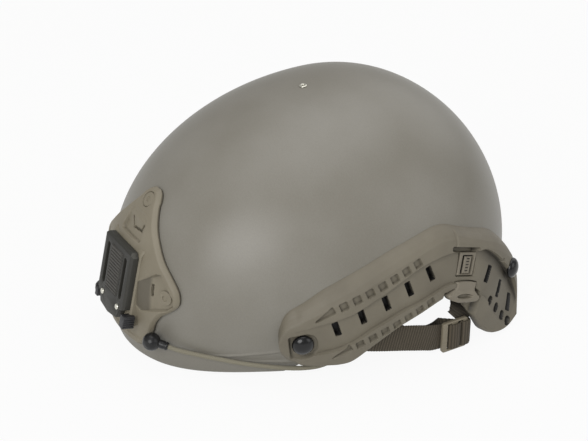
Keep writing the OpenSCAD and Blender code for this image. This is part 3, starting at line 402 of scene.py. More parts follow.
@dataclass
class MeshDraft:
    """Vertices and faces that grow piece by piece, in millimetres from the shell's widest section."""

    points: list[Array] = field(default_factory=list)
    faces: list[list[int]] = field(default_factory=list)
    weave: list[list[tuple[float, float]]] = field(default_factory=list)
    shade_and_wear: list[Array] = field(default_factory=list)
    count: int = 0

    def add(self, points: Array, shade_and_wear: Array | float = 0.0) -> int:
        """Adds vertices, with their painted shade and edge wear, and returns the number of the first one."""
        flat = np.asarray(points, float).reshape(-1, 3)
        self.points.append(flat)
        self.shade_and_wear.append(np.broadcast_to(shade_and_wear, np.shape(points)[:-1]).ravel())
        self.count += len(flat)
        return self.count - len(flat)

    def grid(self, points: Array, close_u: bool = False, close_v: bool = False, flip: bool = False,
             weave: tuple[Array, Array] | None = None, shade_and_wear: Array | float = 0.0) -> int:
        """Adds a sheet of four-sided faces.

        Args:
            points: rows of points, an array of rows by columns by 3.
            close_u: join the last row to the first.
            close_v: join the last column to the first.
            flip: turn the faces over.
            weave: places of the rows and of the columns in the cloth, with one column more where they close.
            shade_and_wear: painted shade in hollows 0 to 1, rubbed edges below 0, near-black painted shade of openings
                above 1.

        Returns:
            The number of the sheet's first vertex.
        """
        nu, nv = points.shape[:2]
        start = self.add(points, shade_and_wear)
        i, j = np.meshgrid(np.arange(nu if close_u else nu - 1), np.arange(nv if close_v else nv - 1), indexing="ij")
        i2, j2 = (i + 1) % nu, (j + 1) % nv
        quads = np.stack([i * nv + j, i2 * nv + j, i2 * nv + j2, i * nv + j2], -1).reshape(-1, 4) + start
        self.faces.extend((quads[:, ::-1] if flip else quads).tolist())
        if weave is not None:
            along, across = weave
            self.weave.extend([[(along[a], across[b]), (along[a + 1], across[b]), (along[a + 1], across[b + 1]),
                                (along[a], across[b + 1])] for a, b in zip(i.ravel(), j.ravel())])
        return start

    def slab(self, outer: Array, inner: Array, flip: bool = False, shade_and_wear: Array | float = 0.0,
             under: Array | float = 0.0) -> None:
        """Adds a closed solid between two sheets of the same size.

        Args:
            outer: rows of points on the outside.
            inner: rows of points on the inside.
            flip: turn the faces over.
            shade_and_wear: painted shade and edge wear on the outside.
            under: painted shade on the inside, which darkens the sides where they run into it.
        """
        nu, nv = outer.shape[:2]
        a = self.grid(outer, flip=flip, shade_and_wear=shade_and_wear)
        b = self.grid(inner, flip=not flip, shade_and_wear=under)
        rim = [i * nv for i in range(nu)] + [(nu - 1) * nv + j for j in range(1, nv)]
        rim += [i * nv + nv - 1 for i in range(nu - 2, -1, -1)] + [j for j in range(nv - 2, 0, -1)]
        for k, r in enumerate(rim):
            s = rim[(k + 1) % len(rim)]
            quad = [a + s, a + r, b + r, b + s]
            self.faces.append(quad[::-1] if flip else quad)

    def tube(self, path: Array, radius: Array | float, sides: int = 16, caps: bool = True) -> None:
        """Adds a round bar along a path.

        Args:
            path: the points of its middle line.
            radius: one radius, or one for each point.
            sides: faces round the bar.
            caps: close both ends.
        """
        along = unit(np.gradient(path, axis=0))
        side = unit(np.cross(along, UP + 1e-6))
        other = np.cross(side, along)
        a = np.arange(sides) * 2 * np.pi / sides
        r = np.broadcast_to(np.asarray(radius, float), (len(path),))[:, None, None]
        ring = side[:, None] * np.cos(a)[None, :, None] + other[:, None] * np.sin(a)[None, :, None]
        start = self.grid(path[:, None] + ring * r, close_v=True)
        if caps:
            self.cap(start, sides, len(path))

    def cap(self, start: int, sides: int, rings: int) -> None:
        """Closes both ends of a row of rings.

        Args:
            start: number of the first ring's first vertex.
            sides: vertices in each ring.
            rings: how many rings there are.
        """
        last = start + (rings - 1) * sides
        self.faces += [[start + k for k in range(sides)], [last + k for k in reversed(range(sides))]]

    def lathe(self, spot: Spot, profile: Sequence[tuple[float, float]], sides: int = 48) -> None:
        """Adds a turned shape.

        Args:
            spot: its place, the axis outward.
            profile: radius and height of each ring, from the outer end to the inner end.
            sides: faces round the shape.
        """
        a = np.arange(sides) * 2 * np.pi / sides
        rings = [spot.at(r * np.cos(a), r * np.sin(a), h) for r, h in profile]
        self.cap(self.grid(np.array(rings), close_v=True, flip=True), sides, len(profile))

    def piece(self, name: str, finish: "Finish", side: Side = Side.LEFT, body: str = HELMET,
              replaces: Sequence[str] = (), crisp: float = 38.0) -> bpy.types.Object:
        """Makes the object, gives it its finish and lets it ride on a body.

        Args:
            name: the piece's name.
            finish: its material.
            side: the wearer's side, the right one mirrored.
            body: the body it moves with.
            replaces: solids that it stands for.
            crisp: edges sharper than this many degrees stay crisp.

        Returns:
            The new object.
        """
        points = side.place(np.concatenate(self.points))
        points = (points + [0.0, SHIFT_Y, 0.0]) * MM
        faces = self.faces if side is Side.LEFT else [f[::-1] for f in self.faces]
        mesh = bpy.data.meshes.new(name)
        mesh.from_pydata(points.tolist(), [], faces)
        if self.weave:
            maps = [m if side is Side.LEFT else m[::-1] for m in self.weave]
            maps += [[(0.0, 0.0)] * len(f) for f in faces[len(maps):]]
            mesh.uv_layers.new(name="weave").data.foreach_set("uv", np.array([p for m in maps for p in m]).ravel())
        # painted shade and edge wear, kept on the vertices for the material
        shade_and_wear = np.concatenate(self.shade_and_wear)
        if shade_and_wear.any():
            mesh.attributes.new("shade_and_wear", "FLOAT", "POINT").data.foreach_set("value", shade_and_wear)
        tidy = bmesh.new()
        tidy.from_mesh(mesh)
        bmesh.ops.recalc_face_normals(tidy, faces=tidy.faces)
        tidy.to_mesh(mesh)
        tidy.free()
        return add_piece(name, mesh, finish, body, replaces, crisp)


# Finishes

MIXED_COLOR = 2             # number of a Mix node's colour output
NOISE = {1: 0.3, 2: 0.7}    # what the values of a noise mostly lie between, as a MapRange reads it


def linear(color: str) -> tuple[float, float, float, float]:
    """Turns an sRGB hex colour, such as "#85817a", into linear values with alpha 1."""
    values = [int(color[i:i + 2], 16) / 255 for i in (1, 3, 5)]
    return (*(v / 12.92 if v <= 0.04045 else ((v + 0.055) / 1.055) ** 2.4 for v in values), 1.0)


def add_node(tree: Tree, kind: str, links: dict | None = None, **settings: object) -> Node:
    """Adds a node to a material.

    Args:
        tree: the material's nodes.
        kind: the node's type without its prefix. A Mix mixes colours.
        links: what goes into each input, by name or number: an output, a node for its main output, a hex colour
            or a plain value.
        settings: the node's own settings.

    Returns:
        The new node.
    """
    node = tree.nodes.new(f"ShaderNode{kind}")
    if kind == "Mix":
        node.data_type = "RGBA"
    for key, value in settings.items():
        setattr(node, key, value)
    for key, value in (links or {}).items():
        if isinstance(value, Node):
            value = value.outputs[MIXED_COLOR if value.bl_idname == "ShaderNodeMix" else 0]
        if isinstance(value, Socket):
            tree.links.new(value, node.inputs[key])
        else:
            node.inputs[key].default_value = linear(value) if isinstance(value, str) else value
    return node


@dataclass(frozen=True)
class Finish:
    """A surface finish. Each kind of surface adds its own pattern."""

    name: str
    slot: str
    color: str
    roughness: float
    metallic: float = 0.0
    sheen: float = 0.0
    specular: float = 0.5

    def material(self) -> bpy.types.Material:
        """Returns the Blender material, made once."""
        made = bpy.data.materials.get(self.name)
        if made:
            return made
        made = bpy.data.materials.new(self.name)
        made.use_nodes = True
        tree = made.node_tree
        tree.nodes.clear()
        place = add_node(tree, "TexCoord").outputs["Object"]
        look = {"Base Color": self.color, "Roughness": self.roughness, "Metallic": self.metallic,
                "Sheen Weight": self.sheen, "Sheen Roughness": 0.5, "Specular IOR Level": self.specular}
        shader = add_node(tree, "BsdfPrincipled", {**look, **self.pattern(tree, place)})
        add_node(tree, "OutputMaterial", {"Surface": shader})
        made.diffuse_color = linear(self.color)
        return made

    def pattern(self, tree: Tree, place: Socket) -> dict[str, Node]:
        """Returns the surface's own colour, gloss and relief, by the shader's input."""
        return {}


@dataclass(frozen=True)
class SprayedPaint(Finish):
    """Satin paint with fine grit, sprayed on a moulded aramid shell: an even grey-green with a wide soft shine."""

    grit_mm: float = 0.9
    cloud_mm: float = 60.0
    light: str = "#7d7a72"

    def pattern(self, tree: Tree, place: Socket) -> dict[str, Node]:
        """Returns the slow changes of the paint's colour and shine, and the relief of its grit."""
        cloud = add_node(tree, "TexNoise", {"Vector": place, "Scale": 1000 / self.cloud_mm, "Detail": 3.0})
        grit = add_node(tree, "TexNoise", {"Vector": place, "Scale": 1000 / self.grit_mm, "Detail": 3.0,
                                           "Roughness": 0.6})
        slow = add_node(tree, "MapRange", {0: cloud, **NOISE, 3: 0.0, 4: 0.65})
        fine = add_node(tree, "MapRange", {0: grit, **NOISE, 3: 0.0, 4: 0.35})
        both = add_node(tree, "Math", {0: slow, 1: fine}, operation="ADD")
        color = add_node(tree, "Mix", {0: both, 6: self.color, 7: self.light})
        gloss = add_node(tree, "MapRange", {0: cloud, **NOISE, 3: self.roughness - 0.03, 4: self.roughness + 0.04})
        bump = add_node(tree, "Bump", {"Height": grit, "Distance": 0.05 * MM, "Strength": 1.0})
        return {"Base Color": color, "Roughness": gloss, "Normal": bump}


@dataclass(frozen=True)
class MouldedNylon(Finish):
    """Glass-filled nylon from a spark-eroded mould: matt and finely grained, with painted shade in its hollows, painted
    near-black shade inside its openings, and rubbed paler along its edges."""

    grain_mm: float = 0.6
    light: str = "#7b7669"
    wear: str = "#8d887b"
    # colour of the painted shade in the hollows
    hollow: str = "#2b2822"
    # near-black painted shade inside the openings
    opening_shade: str = "#0e0d0b"

    def pattern(self, tree: Tree, place: Socket) -> dict[str, Node]:
        """Returns the mould's flow marks and grain, the painted shade of the hollows and openings, and the rubbed
        edges.
        """
        cloud = add_node(tree, "TexNoise", {"Vector": place, "Scale": 40.0, "Detail": 3.0})
        grain = add_node(tree, "TexNoise", {"Vector": place, "Scale": 1000 / self.grain_mm, "Detail": 2.0,
                                            "Roughness": 0.6})
        flow = add_node(tree, "MapRange", {0: cloud, **NOISE, 3: 0.0, 4: 1.0})
        base = add_node(tree, "Mix", {0: flow, 6: self.color, 7: self.light})
        shade_and_wear = add_node(tree, "Attribute", attribute_name="shade_and_wear")
        # painted shade: the hollows darkened, the openings painted near black
        shade_share = add_node(tree, "MapRange", {0: shade_and_wear.outputs["Fac"], 1: 0.08, 2: 1.0, 3: 0.0, 4: 0.95})
        hollow_shaded = add_node(tree, "Mix", {0: shade_share, 6: base, 7: self.hollow})
        opening_shade = add_node(tree, "MapRange", {0: shade_and_wear.outputs["Fac"], 1: 1.0, 2: 1.5, 3: 0.0, 4: 1.0})
        deep = add_node(tree, "Mix", {0: opening_shade, 6: hollow_shaded, 7: self.opening_shade})
        edge = add_node(tree, "MapRange", {0: shade_and_wear.outputs["Fac"], 1: -0.15, 2: -0.7, 3: 0.0, 4: 0.8})
        specks = add_node(tree, "MapRange", {0: grain, **NOISE, 3: 0.3, 4: 1.0})
        rubbed = add_node(tree, "Math", {0: edge, 1: specks}, operation="MULTIPLY")
        color = add_node(tree, "Mix", {0: rubbed, 6: deep, 7: self.wear})
        gloss = add_node(tree, "MapRange", {0: grain, **NOISE, 3: self.roughness - 0.05, 4: self.roughness + 0.07})
        bump = add_node(tree, "Bump", {"Height": grain, "Distance": 0.06 * MM, "Strength": 1.0})
        return {"Base Color": color, "Roughness": gloss, "Normal": bump}


@dataclass(frozen=True)
class AnodisedPlate(Finish):
    """Hard-anodised aluminium, bead-blasted first: dark, with a dull metal shine and rubbed edges."""

    wear: str = "#77766f"

    def pattern(self, tree: Tree, place: Socket) -> dict[str, Node]:
        """Returns the blasted grain and the bright rubbed edges."""
        grain = add_node(tree, "TexNoise", {"Vector": place, "Scale": 2000.0, "Detail": 2.0})
        shape = add_node(tree, "NewGeometry")
        edge = add_node(tree, "MapRange", {0: shape.outputs["Pointiness"], 1: 0.52, 2: 0.6, 3: 0.0, 4: 0.6})
        worn = add_node(tree, "Math", {0: edge, 1: grain}, operation="MULTIPLY")
        color = add_node(tree, "Mix", {0: worn, 6: self.color, 7: self.wear})
        gloss = add_node(tree, "MapRange", {0: grain, **NOISE, 3: self.roughness - 0.06, 4: self.roughness + 0.06})
        bump = add_node(tree, "Bump", {"Height": grain, "Distance": 0.03 * MM, "Strength": 1.0})
        return {"Base Color": color, "Roughness": gloss, "Normal": bump}


@dataclass(frozen=True)
class BareMetal(Finish):
    """Turned or pressed bare metal: bright, with fine scratches that break up the shine."""

    scratch_mm: float = 0.4

    def pattern(self, tree: Tree, place: Socket) -> dict[str, Node]:
        """Returns the uneven gloss and the relief of the scratches."""
        grain = add_node(tree, "TexNoise", {"Vector": place, "Scale": 1000 / self.scratch_mm, "Detail": 4.0,
                                            "Roughness": 0.7})
        gloss = add_node(tree, "MapRange", {0: grain, **NOISE, 3: self.roughness - 0.08, 4: self.roughness + 0.1})
        bump = add_node(tree, "Bump", {"Height": grain, "Distance": 0.015 * MM, "Strength": 1.0})
        return {"Roughness": gloss, "Normal": bump}


@dataclass(frozen=True)
class BlackCoat(Finish):
    """Black paint or polished acetal: smooth, with the slight orange-peel of a thick coat."""

    peel_mm: float = 2.2

    def pattern(self, tree: Tree, place: Socket) -> dict[str, Node]:
        """Returns the uneven gloss and the relief of the orange-peel."""
        peel = add_node(tree, "TexNoise", {"Vector": place, "Scale": 1000 / self.peel_mm, "Detail": 2.0})
        gloss = add_node(tree, "MapRange", {0: peel, **NOISE, 3: self.roughness - 0.03, 4: self.roughness + 0.05})
        bump = add_node(tree, "Bump", {"Height": peel, "Distance": 0.03 * MM, "Strength": 1.0})
        return {"Roughness": gloss, "Normal": bump}


@dataclass(frozen=True)
class MouldedRubber(Finish):
    """Moulded rubber: dull and dark, with a powdery bloom."""

    light: str = "#4c4a46"

    def pattern(self, tree: Tree, place: Socket) -> dict[str, Node]:
        """Returns the colour of the bloom and the relief of the mould's grain."""
        bloom = add_node(tree, "TexNoise", {"Vector": place, "Scale": 330.0, "Detail": 4.0, "Roughness": 0.7})
        grain = add_node(tree, "TexNoise", {"Vector": place, "Scale": 2000.0, "Detail": 2.0})
        share = add_node(tree, "MapRange", {0: bloom, **NOISE, 3: 0.0, 4: 1.0})
        color = add_node(tree, "Mix", {0: share, 6: self.color, 7: self.light})
        bump = add_node(tree, "Bump", {"Height": grain, "Distance": 0.05 * MM, "Strength": 1.0})
        return {"Base Color": color, "Normal": bump}


@dataclass(frozen=True)
class WovenFabric(Finish):
    """Woven or braided nylon: matt threads with dark gaps. The thread pattern follows the piece's own map."""

    light: str = "#6a6150"
    along_mm: float = 1.0
    across_mm: float = 1.0
    slant: float = 0.0
    gap: float = 0.35

    def pattern(self, tree: Tree, place: Socket) -> dict[str, Node]:
        """Returns the threads' colour with the dark gaps between them, and their relief with its fuzz."""
        spot = add_node(tree, "UVMap", uv_map="weave")
        turned = add_node(tree, "Mapping", {"Vector": spot, "Rotation": (0, 0, math.radians(self.slant))})
        cords = add_node(tree, "TexWave", {"Vector": turned, "Scale": math.pi / 10 / self.along_mm, "Distortion": 0.4,
                                           "Detail": 1.0}, wave_type="BANDS", bands_direction="X")
        wefts = add_node(tree, "TexWave", {"Vector": turned, "Scale": math.pi / 10 / self.across_mm,
                                           "Distortion": 0.3, "Detail": 1.0}, wave_type="BANDS", bands_direction="Y")
        soft = add_node(tree, "MapRange", {0: wefts.outputs[1], 1: 0.0, 2: 1.0, 3: 1 - self.gap, 4: 1.0})
        weave = add_node(tree, "Math", {0: cords.outputs[1], 1: soft}, operation="MULTIPLY")
        fuzz = add_node(tree, "TexNoise", {"Vector": place, "Scale": 2000.0, "Detail": 3.0, "Roughness": 0.7})
        threads = add_node(tree, "MapRange", {0: weave, 1: 0.0, 2: 0.8, 3: 0.0, 4: 0.75})
        hairs = add_node(tree, "MapRange", {0: fuzz, **NOISE, 3: 0.0, 4: 0.25})
        both = add_node(tree, "Math", {0: threads, 1: hairs}, operation="ADD")
        color = add_node(tree, "Mix", {0: both, 6: self.color, 7: self.light})
        bump = add_node(tree, "Bump", {"Height": both, "Distance": 0.12 * MM, "Strength": 1.0})
        return {"Base Color": color, "Normal": bump}


@dataclass(frozen=True)
class BrushedFabric(Finish):
    """Brushed loop fabric over foam: very matt, with a soft uneven pile."""

    light: str = "#4a4943"
    pile_mm: float = 0.9

    def pattern(self, tree: Tree, place: Socket) -> dict[str, Node]:
        """Returns the colour of the pile with its marks of wear, and the relief of its loops."""
        pile = add_node(tree, "TexNoise", {"Vector": place, "Scale": 1000 / self.pile_mm, "Detail": 4.0,
                                           "Roughness": 0.75})
        marks = add_node(tree, "TexNoise", {"Vector": place, "Scale": 55.0, "Detail": 3.0})
        loops = add_node(tree, "MapRange", {0: pile, **NOISE, 3: 0.0, 4: 0.6})
        worn = add_node(tree, "MapRange", {0: marks, **NOISE, 3: 0.0, 4: 0.4})
        both = add_node(tree, "Math", {0: loops, 1: worn}, operation="ADD")
        color = add_node(tree, "Mix", {0: both, 6: self.color, 7: self.light})
        bump = add_node(tree, "Bump", {"Height": pile, "Distance": 0.35 * MM, "Strength": 1.0})
        return {"Base Color": color, "Normal": bump}


SHELL_PAINT = SprayedPaint("satin_sprayed_shell_paint", "shell_paint", "#6f6b61", 0.42)
RAIL_NYLON = MouldedNylon("moulded_rail_nylon", "rail_polymer", "#655f52", 0.6, light="#6f695b", wear="#858072")
PLUG_NYLON = MouldedNylon("moulded_plug_nylon", "rail_polymer", "#716a5d", 0.58, light="#7a7365", wear="#8d8779")
SHROUD_NYLON = MouldedNylon("moulded_shroud_nylon", "shroud_polymer", "#736c5c", 0.55, light="#7d7666", wear="#8f897a")
PLATE_METAL = AnodisedPlate("anodised_shroud_plate", "plate_metal", "#302f2b", 0.5, metallic=0.2, specular=0.3)
PLATE_PAD = MouldedRubber("ribbed_plate_rubber", "plate_rubber", "#403e3a", 0.75)
BRIGHT = BareMetal("turned_bright_steel", "bright_metal", "#d4d2c6", 0.3, metallic=1.0)
ZINC = BareMetal("zinc_plated_steel", "zinc_steel", "#8e8e88", 0.42, metallic=1.0)
SCREW_BLACK = BlackCoat("black_painted_screw", "black_metal", "#121213", 0.2, specular=0.4)
CATCH_BLACK = MouldedNylon("black_moulded_catch", "black_polymer", "#222224", 0.45, light="#29292b", wear="#3c3c3e")
HOOK_ACETAL = BlackCoat("polished_hook_acetal", "hook_polymer", "#19191a", 0.33, specular=0.35)
CORD_BRAID = WovenFabric("braided_elastic_cord", "cord_fabric", "#6d6859", 0.85, sheen=0.1, light="#8f8a79",
                         along_mm=0.8, across_mm=0.8, slant=45.0, gap=0.9)
WEBBING = WovenFabric("woven_brown_webbing", "webbing_brown", "#2c261b", 0.8, sheen=0.05, light="#554c3d",
                      along_mm=1.9, across_mm=0.9)
WEBBING_DARK = WovenFabric("woven_dark_webbing", "webbing_dark", "#262119", 0.8, sheen=0.05, light="#433c30",
                           along_mm=1.9, across_mm=0.9)
BUCKLE_NYLON = MouldedNylon("moulded_buckle_nylon", "buckle_polymer", "#7a7261", 0.5, light="#837b6a", wear="#918976")
CUP_RUBBER = MouldedRubber("moulded_chin_cup_rubber", "cup_rubber", "#2c2c2a", 0.7, light="#3a3a37")
PAD_FABRIC = BrushedFabric("brushed_pad_fabric", "pad_fabric", "#33332f", 0.9, sheen=0.3)
HOOK_TAPE = BrushedFabric("woven_hook_tape", "hook_tape", "#262624", 0.85, light="#343431", pile_mm=0.7)


# Sub-assemblies


def dress(node: str, finish: Finish, bevel: float = 0.25, share: float = 1.0) -> bpy.types.Object:
    """Makes a piece from a solid of the frame, gives it a finish and softens its edges.

    Args:
        node: the solid's name.
        finish: its material.
        bevel: width of the softened edges in millimetres, 0 for none.
        share: size as a share of the solid's, about its middle.

    Returns:
        The new object.
    """
    solid = frame["nodes"][node]
    mesh = solid.data.copy()
    mesh.name = f"{node}_form"
    mesh.materials.clear()
    tidy = bmesh.new()
    tidy.from_mesh(mesh)
    bmesh.ops.remove_doubles(tidy, verts=tidy.verts, dist=0.01 * MM)
    bmesh.ops.dissolve_limit(tidy, angle_limit=math.radians(1), verts=tidy.verts, edges=tidy.edges)
    if bevel:
        edges = [e for e in tidy.edges if e.is_manifold and e.calc_face_angle(0) > math.radians(35)]
        bmesh.ops.bevel(tidy, geom=edges, offset=bevel * MM, segments=2, profile=0.5, affect="EDGES",
                        clamp_overlap=True)
    middle = sum((v.co for v in tidy.verts), Vector()) / len(tidy.verts)
    for v in tidy.verts:
        v.co = middle + (v.co - middle) * share
    tidy.to_mesh(mesh)
    tidy.free()
    return add_piece(f"{node}_form", mesh, finish, body_of(solid)[0], [node], 40)


def add_nut(draft: MeshDraft, spot: Spot, wall: float) -> None:
    """Adds a flanged hexagon nut against the shell's inside.

    Args:
        draft: the mesh that it goes into.
        spot: the screw's place on the shell.
        wall: the shell's wall.
    """
    flange = ((2.4, 0.2), (6.4, 0.2), (6.4, 0.9), (2.4, 0.9))
    hexagon = ((2.2, 0.5), (4.9, 0.8), (4.9, 2.6), (4.5, 2.9), (2.2, 2.9))
    for profile, sides in ((flange, 40), (hexagon, 6)):
        draft.lathe(spot, [(r, -wall - under) for r, under in profile], sides)


@dataclass(frozen=True)
class Shell:
    """The composite shell with its rolled rim, the band along the brim and the crown eyelet."""

    form: ShellForm = FORM
    columns: int = 480
    low_levels: int = 112
    high_levels: int = 56
    fold_z: float = 72.0
    rim: float = 1.6
    level_reach: float = 12.0

    def heights(self, t: Array) -> Array:
        """Returns the heights of the levels of each column, from the rim to the crown."""
        f = self.form
        low = np.linspace(0, 1, self.low_levels + 1)[:-1]
        start = math.asin((self.fold_z - f.belt_z) / f.crown_h)
        high = f.belt_z + f.crown_h * np.sin(np.linspace(start, math.pi / 2, self.high_levels + 1))[:-1]
        edge = f.edge_z(t)[:, None] + self.rim
        return np.concatenate([edge + low * (self.fold_z - edge), np.broadcast_to(high, (len(t), len(high)))], 1)

    def ring(self, t: Array, z: Array, lift: Array) -> Array:
        """Returns points off the surface, held level where they are close to the edge."""
        f = self.form
        p = f.turn(t, z)
        moved = f.off(p, lift)
        share = ease((z - f.edge_z(t)) / self.level_reach)
        moved[..., 2] = mix(z, moved[..., 2], share)
        return moved

    def build(self) -> None:
        """Makes the shell."""
        f = self.form
        t = np.linspace(-180, 180, self.columns, endpoint=False)
        z = self.heights(t)
        tt = np.broadcast_to(t[:, None], z.shape)
        outer = self.ring(tt, z, f.band(z, tt) + f.crease(z, tt))[:, ::-1]
        inner = self.ring(tt, z, np.full(z.shape, -f.wall))
        bend = np.radians(np.linspace(15, 90, 6))
        rows = []
        for a, outside in [(a, True) for a in bend] + [(a, False) for a in bend[::-1]]:
            level = f.edge_z(t) + self.rim * (1 - math.sin(a))
            inset = self.rim * (1 - math.cos(a))
            rows.append(self.ring(t, level, f.band(level, t) - inset if outside else np.full(t.shape, inset - f.wall)))
        rim = np.stack(rows, 1)
        draft = MeshDraft()
        sheet = np.concatenate([outer, rim, inner], 1)
        start = draft.grid(sheet, close_u=True)
        n = sheet.shape[1]
        for lift, j in ((0.0, 0), (-f.wall, n - 1)):
            pole = draft.add(np.array([[0, 0, f.belt_z + f.crown_h + lift]]))
            draft.faces += [[start + i * n + j, start + (i + 1) % self.columns * n + j, pole]
                            for i in range(self.columns)]
        draft.piece("shell_skin", SHELL_PAINT, replaces=["shell"], crisp=50)
        dress("crown_rivet", BRIGHT, 0.15)


@dataclass(frozen=True)
class Shroud:
    """The three-lobed front shroud: moulded frame, metal plate, ribbed pad, thumb catches and screws."""

    form: ShellForm = FORM
    thick: float = 4.6
    seat: float = 0.3
    chamfer: float = 2.6
    columns: int = 330
    rows: int = 300
    outline: Places = (
        (10.3, 20), (14, 23.4), (17.2, 26.2), (24.7, 31), (31.7, 33.5), (36.5, 36.3), (40.8, 39.7), (45.4, 45.1),
        (49.1, 48.7), (52.4, 50.4), (56.9, 50.2), (61, 48.6), (65.1, 45.5), (69.9, 40.8), (74.4, 35.7), (78.9, 31.1),
        (83.4, 26.7), (87.7, 22.2), (92.1, 18), (96.5, 14.2), (100.9, 10.6), (103.7, 9), (106.5, 6), (108, 2.5))
    screws: tuple[tuple[float, float, float], ...] = ((0, 101, 4.5), (41.4, 54.4, 3.35), (-41.4, 54.4, 3.35))
    cover_d: float = 10.8
    dish: Places = ((-18.7, -13), (-15.2, -15.4), (6.2, -8.2), (10.6, -4.5), (10.8, -0.6),
                                             (4.6, 6.5), (0.2, 12), (-2.5, 11.6), (-18.2, 1.6))
    dish_floor: float = 1.9
    # the angled slot of the top arm, as three straight bars
    panel_slot: tuple[Places, ...] = (
        ((-6.0, 1.5), (-2.5, -4.8), (-1.2, -4.2), (-4.7, 1.9)), ((-2.5, -4.8), (8.9, -3.6), (8.8, -2.3), (-2.2, -3.5)),
        ((8.6, -3.0), (10.3, 1.3), (9.4, 1.6), (7.7, -2.6)))
    plate_w: float = 40.0
    plate_z: float = 53.0
    plate_h: float = 50.0
    plate_tilt: float = 13.3
    plate_y: float = -165.4

    def outside(self) -> tuple[Array, Array, Array]:
        """Returns the frame's places x and z and their distance from its outline."""
        line = spline([(z, x) for z, x in self.outline], 8)
        z = np.linspace(self.outline[0][0], self.outline[-1][0], self.rows)
        half = np.interp(z, line[:, 0], line[:, 1])
        slope = np.gradient(half, z)
        w = np.sin(np.linspace(-1, 1, self.columns) * math.pi / 2) * 0.35 + np.linspace(-1, 1, self.columns) * 0.65
        x = w[None, :] * half[:, None]
        zz = np.broadcast_to(z[:, None], x.shape)
        edge = (half[:, None] - np.abs(x)) / np.sqrt(1 + slope[:, None] ** 2)
        edge = np.minimum(edge, np.minimum(zz - z[0], (z[-1] - zz) * 1.2))
        return x, zz, edge

    def dish_place(self, x: Array, z: Array) -> tuple[Array, Array]:
        """Returns the places of the frame's face seen from the dish's middle, the right side mirrored."""
        p = self.form.brow(x, z)
        over = p + self.form.out_dir(p) * self.thick
        mirrored = over * np.stack([np.where(x < 0, -1.0, 1.0), np.ones(x.shape), np.ones(x.shape)], -1)
        return self.form.brow_spot(37, 55.5).local(mirrored)

    def height(self, x: Array, z: Array, edge: Array) -> Array:
        """Returns how far the frame's face stands off the shell."""
        f = self.form
        slope = np.clip(edge / self.chamfer, 0, 1)
        top = self.thick * (0.5 + 0.5 * (1 - (1 - slope) ** 1.6))
        p = f.brow(x, z)
        over = p + f.out_dir(p) * self.thick
        a, b = self.dish_place(x, z)
        wall = np.clip((a + 17.5) / 13.0, 0, 1)
        top = sink(top, shape_edge(a, b, self.dish, 1.2), mix(self.thick - 0.4, self.dish_floor, wall), 1.5)
        top = sink(top, box_edge(a + 6.2, b - 0.8, 1.6, 8.2, 0.3), -0.2, 0.4)
        a, b = f.brow_spot(0, 88).local(over)
        fall = np.clip((3.0 - b) / 7.0, 0, 1)
        panel = shape_edge(a, b, [(-11.5, -8.5), (11.5, -8.5), (9.8, 3.2), (6.5, 6), (-6.5, 6), (-9.8, 3.2)], 1.5)
        top = sink(top, panel, mix(self.thick - 0.4, self.thick - 2.2, fall), 0.8)
        for corners in self.panel_slot:
            top = sink(top, shape_edge(a, b, corners, 0.1), 0.6, 0.35)
        for sx, sz, high in self.screws:
            a, b = f.brow_spot(sx, sz).local(over)
            top = sink(top, np.hypot(a, b) - self.cover_d / 2, high - 1.3, 0.4)
        return top

    def build(self) -> None:
        """Makes the frame and dresses the pieces on it."""
        f = self.form
        x, z, edge = self.outside()
        lift = self.height(x, z, edge)
        p = f.brow(x, z)
        base = f.band(z, np.full(z.shape, -90.0))
        draft = MeshDraft()
        a, b = self.dish_place(x, z)
        # painted shade: the dish's left wall darker, as it faces away from the lamps, with painted shade in the hollows
        # and at the base of the sides
        shade = 0.6 * (shape_edge(a, b, self.dish, 1.2) < 0) * np.clip((-6.0 - a) / 3, 0, 1)
        draft.slab(f.off(p, base + lift), f.off(p, base + self.seat), shade_and_wear=np.maximum(hollows(lift, 7, 2.2), shade),
                   under=1.0)
        self.pedestal(draft)
        draft.piece("shroud_frame_skin", SHROUD_NYLON, replaces=["shroud_frame"])
        self.fasteners()
        dress("shroud_plate", PLATE_METAL, 0.3)
        dress("shroud_pad", PLATE_PAD, 0.12)
        dress("shroud_rivets", BRIGHT, 0.1)
        dress("catch_left", CATCH_BLACK, 0.3, 0.72)
        dress("catch_right", CATCH_BLACK, 0.2, 0.45)

    def pedestal(self, draft: MeshDraft) -> None:
        """Adds the block that carries the plate, its back on the frame."""
        lo, hi = self.plate_z - self.plate_h / 2 - 2, self.plate_z + self.plate_h / 2 + 1
        half = self.plate_w / 2 + 1
        zz, xx = lattice((lo, hi, 40), (-half, half, 40))
        face = self.plate_y + GAP + (zz - self.plate_z) * math.tan(math.radians(self.plate_tilt))
        top = ease((zz - hi + 5) / 5)
        round_off = 2.2 * top ** 2 + 1.0 * ease((np.abs(xx) - half + 1.2) / 1.2)
        rear = self.form.off(self.form.brow(xx, zz), 1.0)
        front = np.stack([xx, np.minimum(face + round_off, rear[..., 1] - 0.2), zz], -1)
        draft.slab(front, np.stack([xx, rear[..., 1], zz], -1))

    def fasteners(self) -> None:
        """Makes the screws with their nuts and their covers, slightly domed with a shallow drive recess."""
        draft, screws, nuts = MeshDraft(), MeshDraft(), MeshDraft()
        r = self.cover_d / 2 - 0.4
        for sx, sz, top in self.screws:
            spot = self.form.brow_spot(sx, sz)
            dome = [(r * math.sin(a), top - 0.55 * (1 - math.cos(a))) for a in np.linspace(0.75, math.pi / 2, 7)]
            recess = [(0.02, top - 0.7), (1.7, top - 0.7), (2.0, top - 0.1), (2.3, top - 0.02)]
            draft.lathe(spot, [*recess, *dome, (r, top - 2.0)])
            screws.lathe(spot, [(3.6, top - 2.1), (4.2, top - 2.4), (4.2, 0.4), (1.9, 0.4),
                                (1.9, -self.form.wall - SCREW_END)])
            add_nut(nuts, spot, self.form.wall)
        draft.piece("shroud_cover_caps", SHROUD_NYLON, replaces=["shroud_covers"])
        screws.piece("shroud_screw_set", ZINC, replaces=["shroud_screws"])
        nuts.piece("shroud_nut_set", ZINC, replaces=["shroud_nuts"])


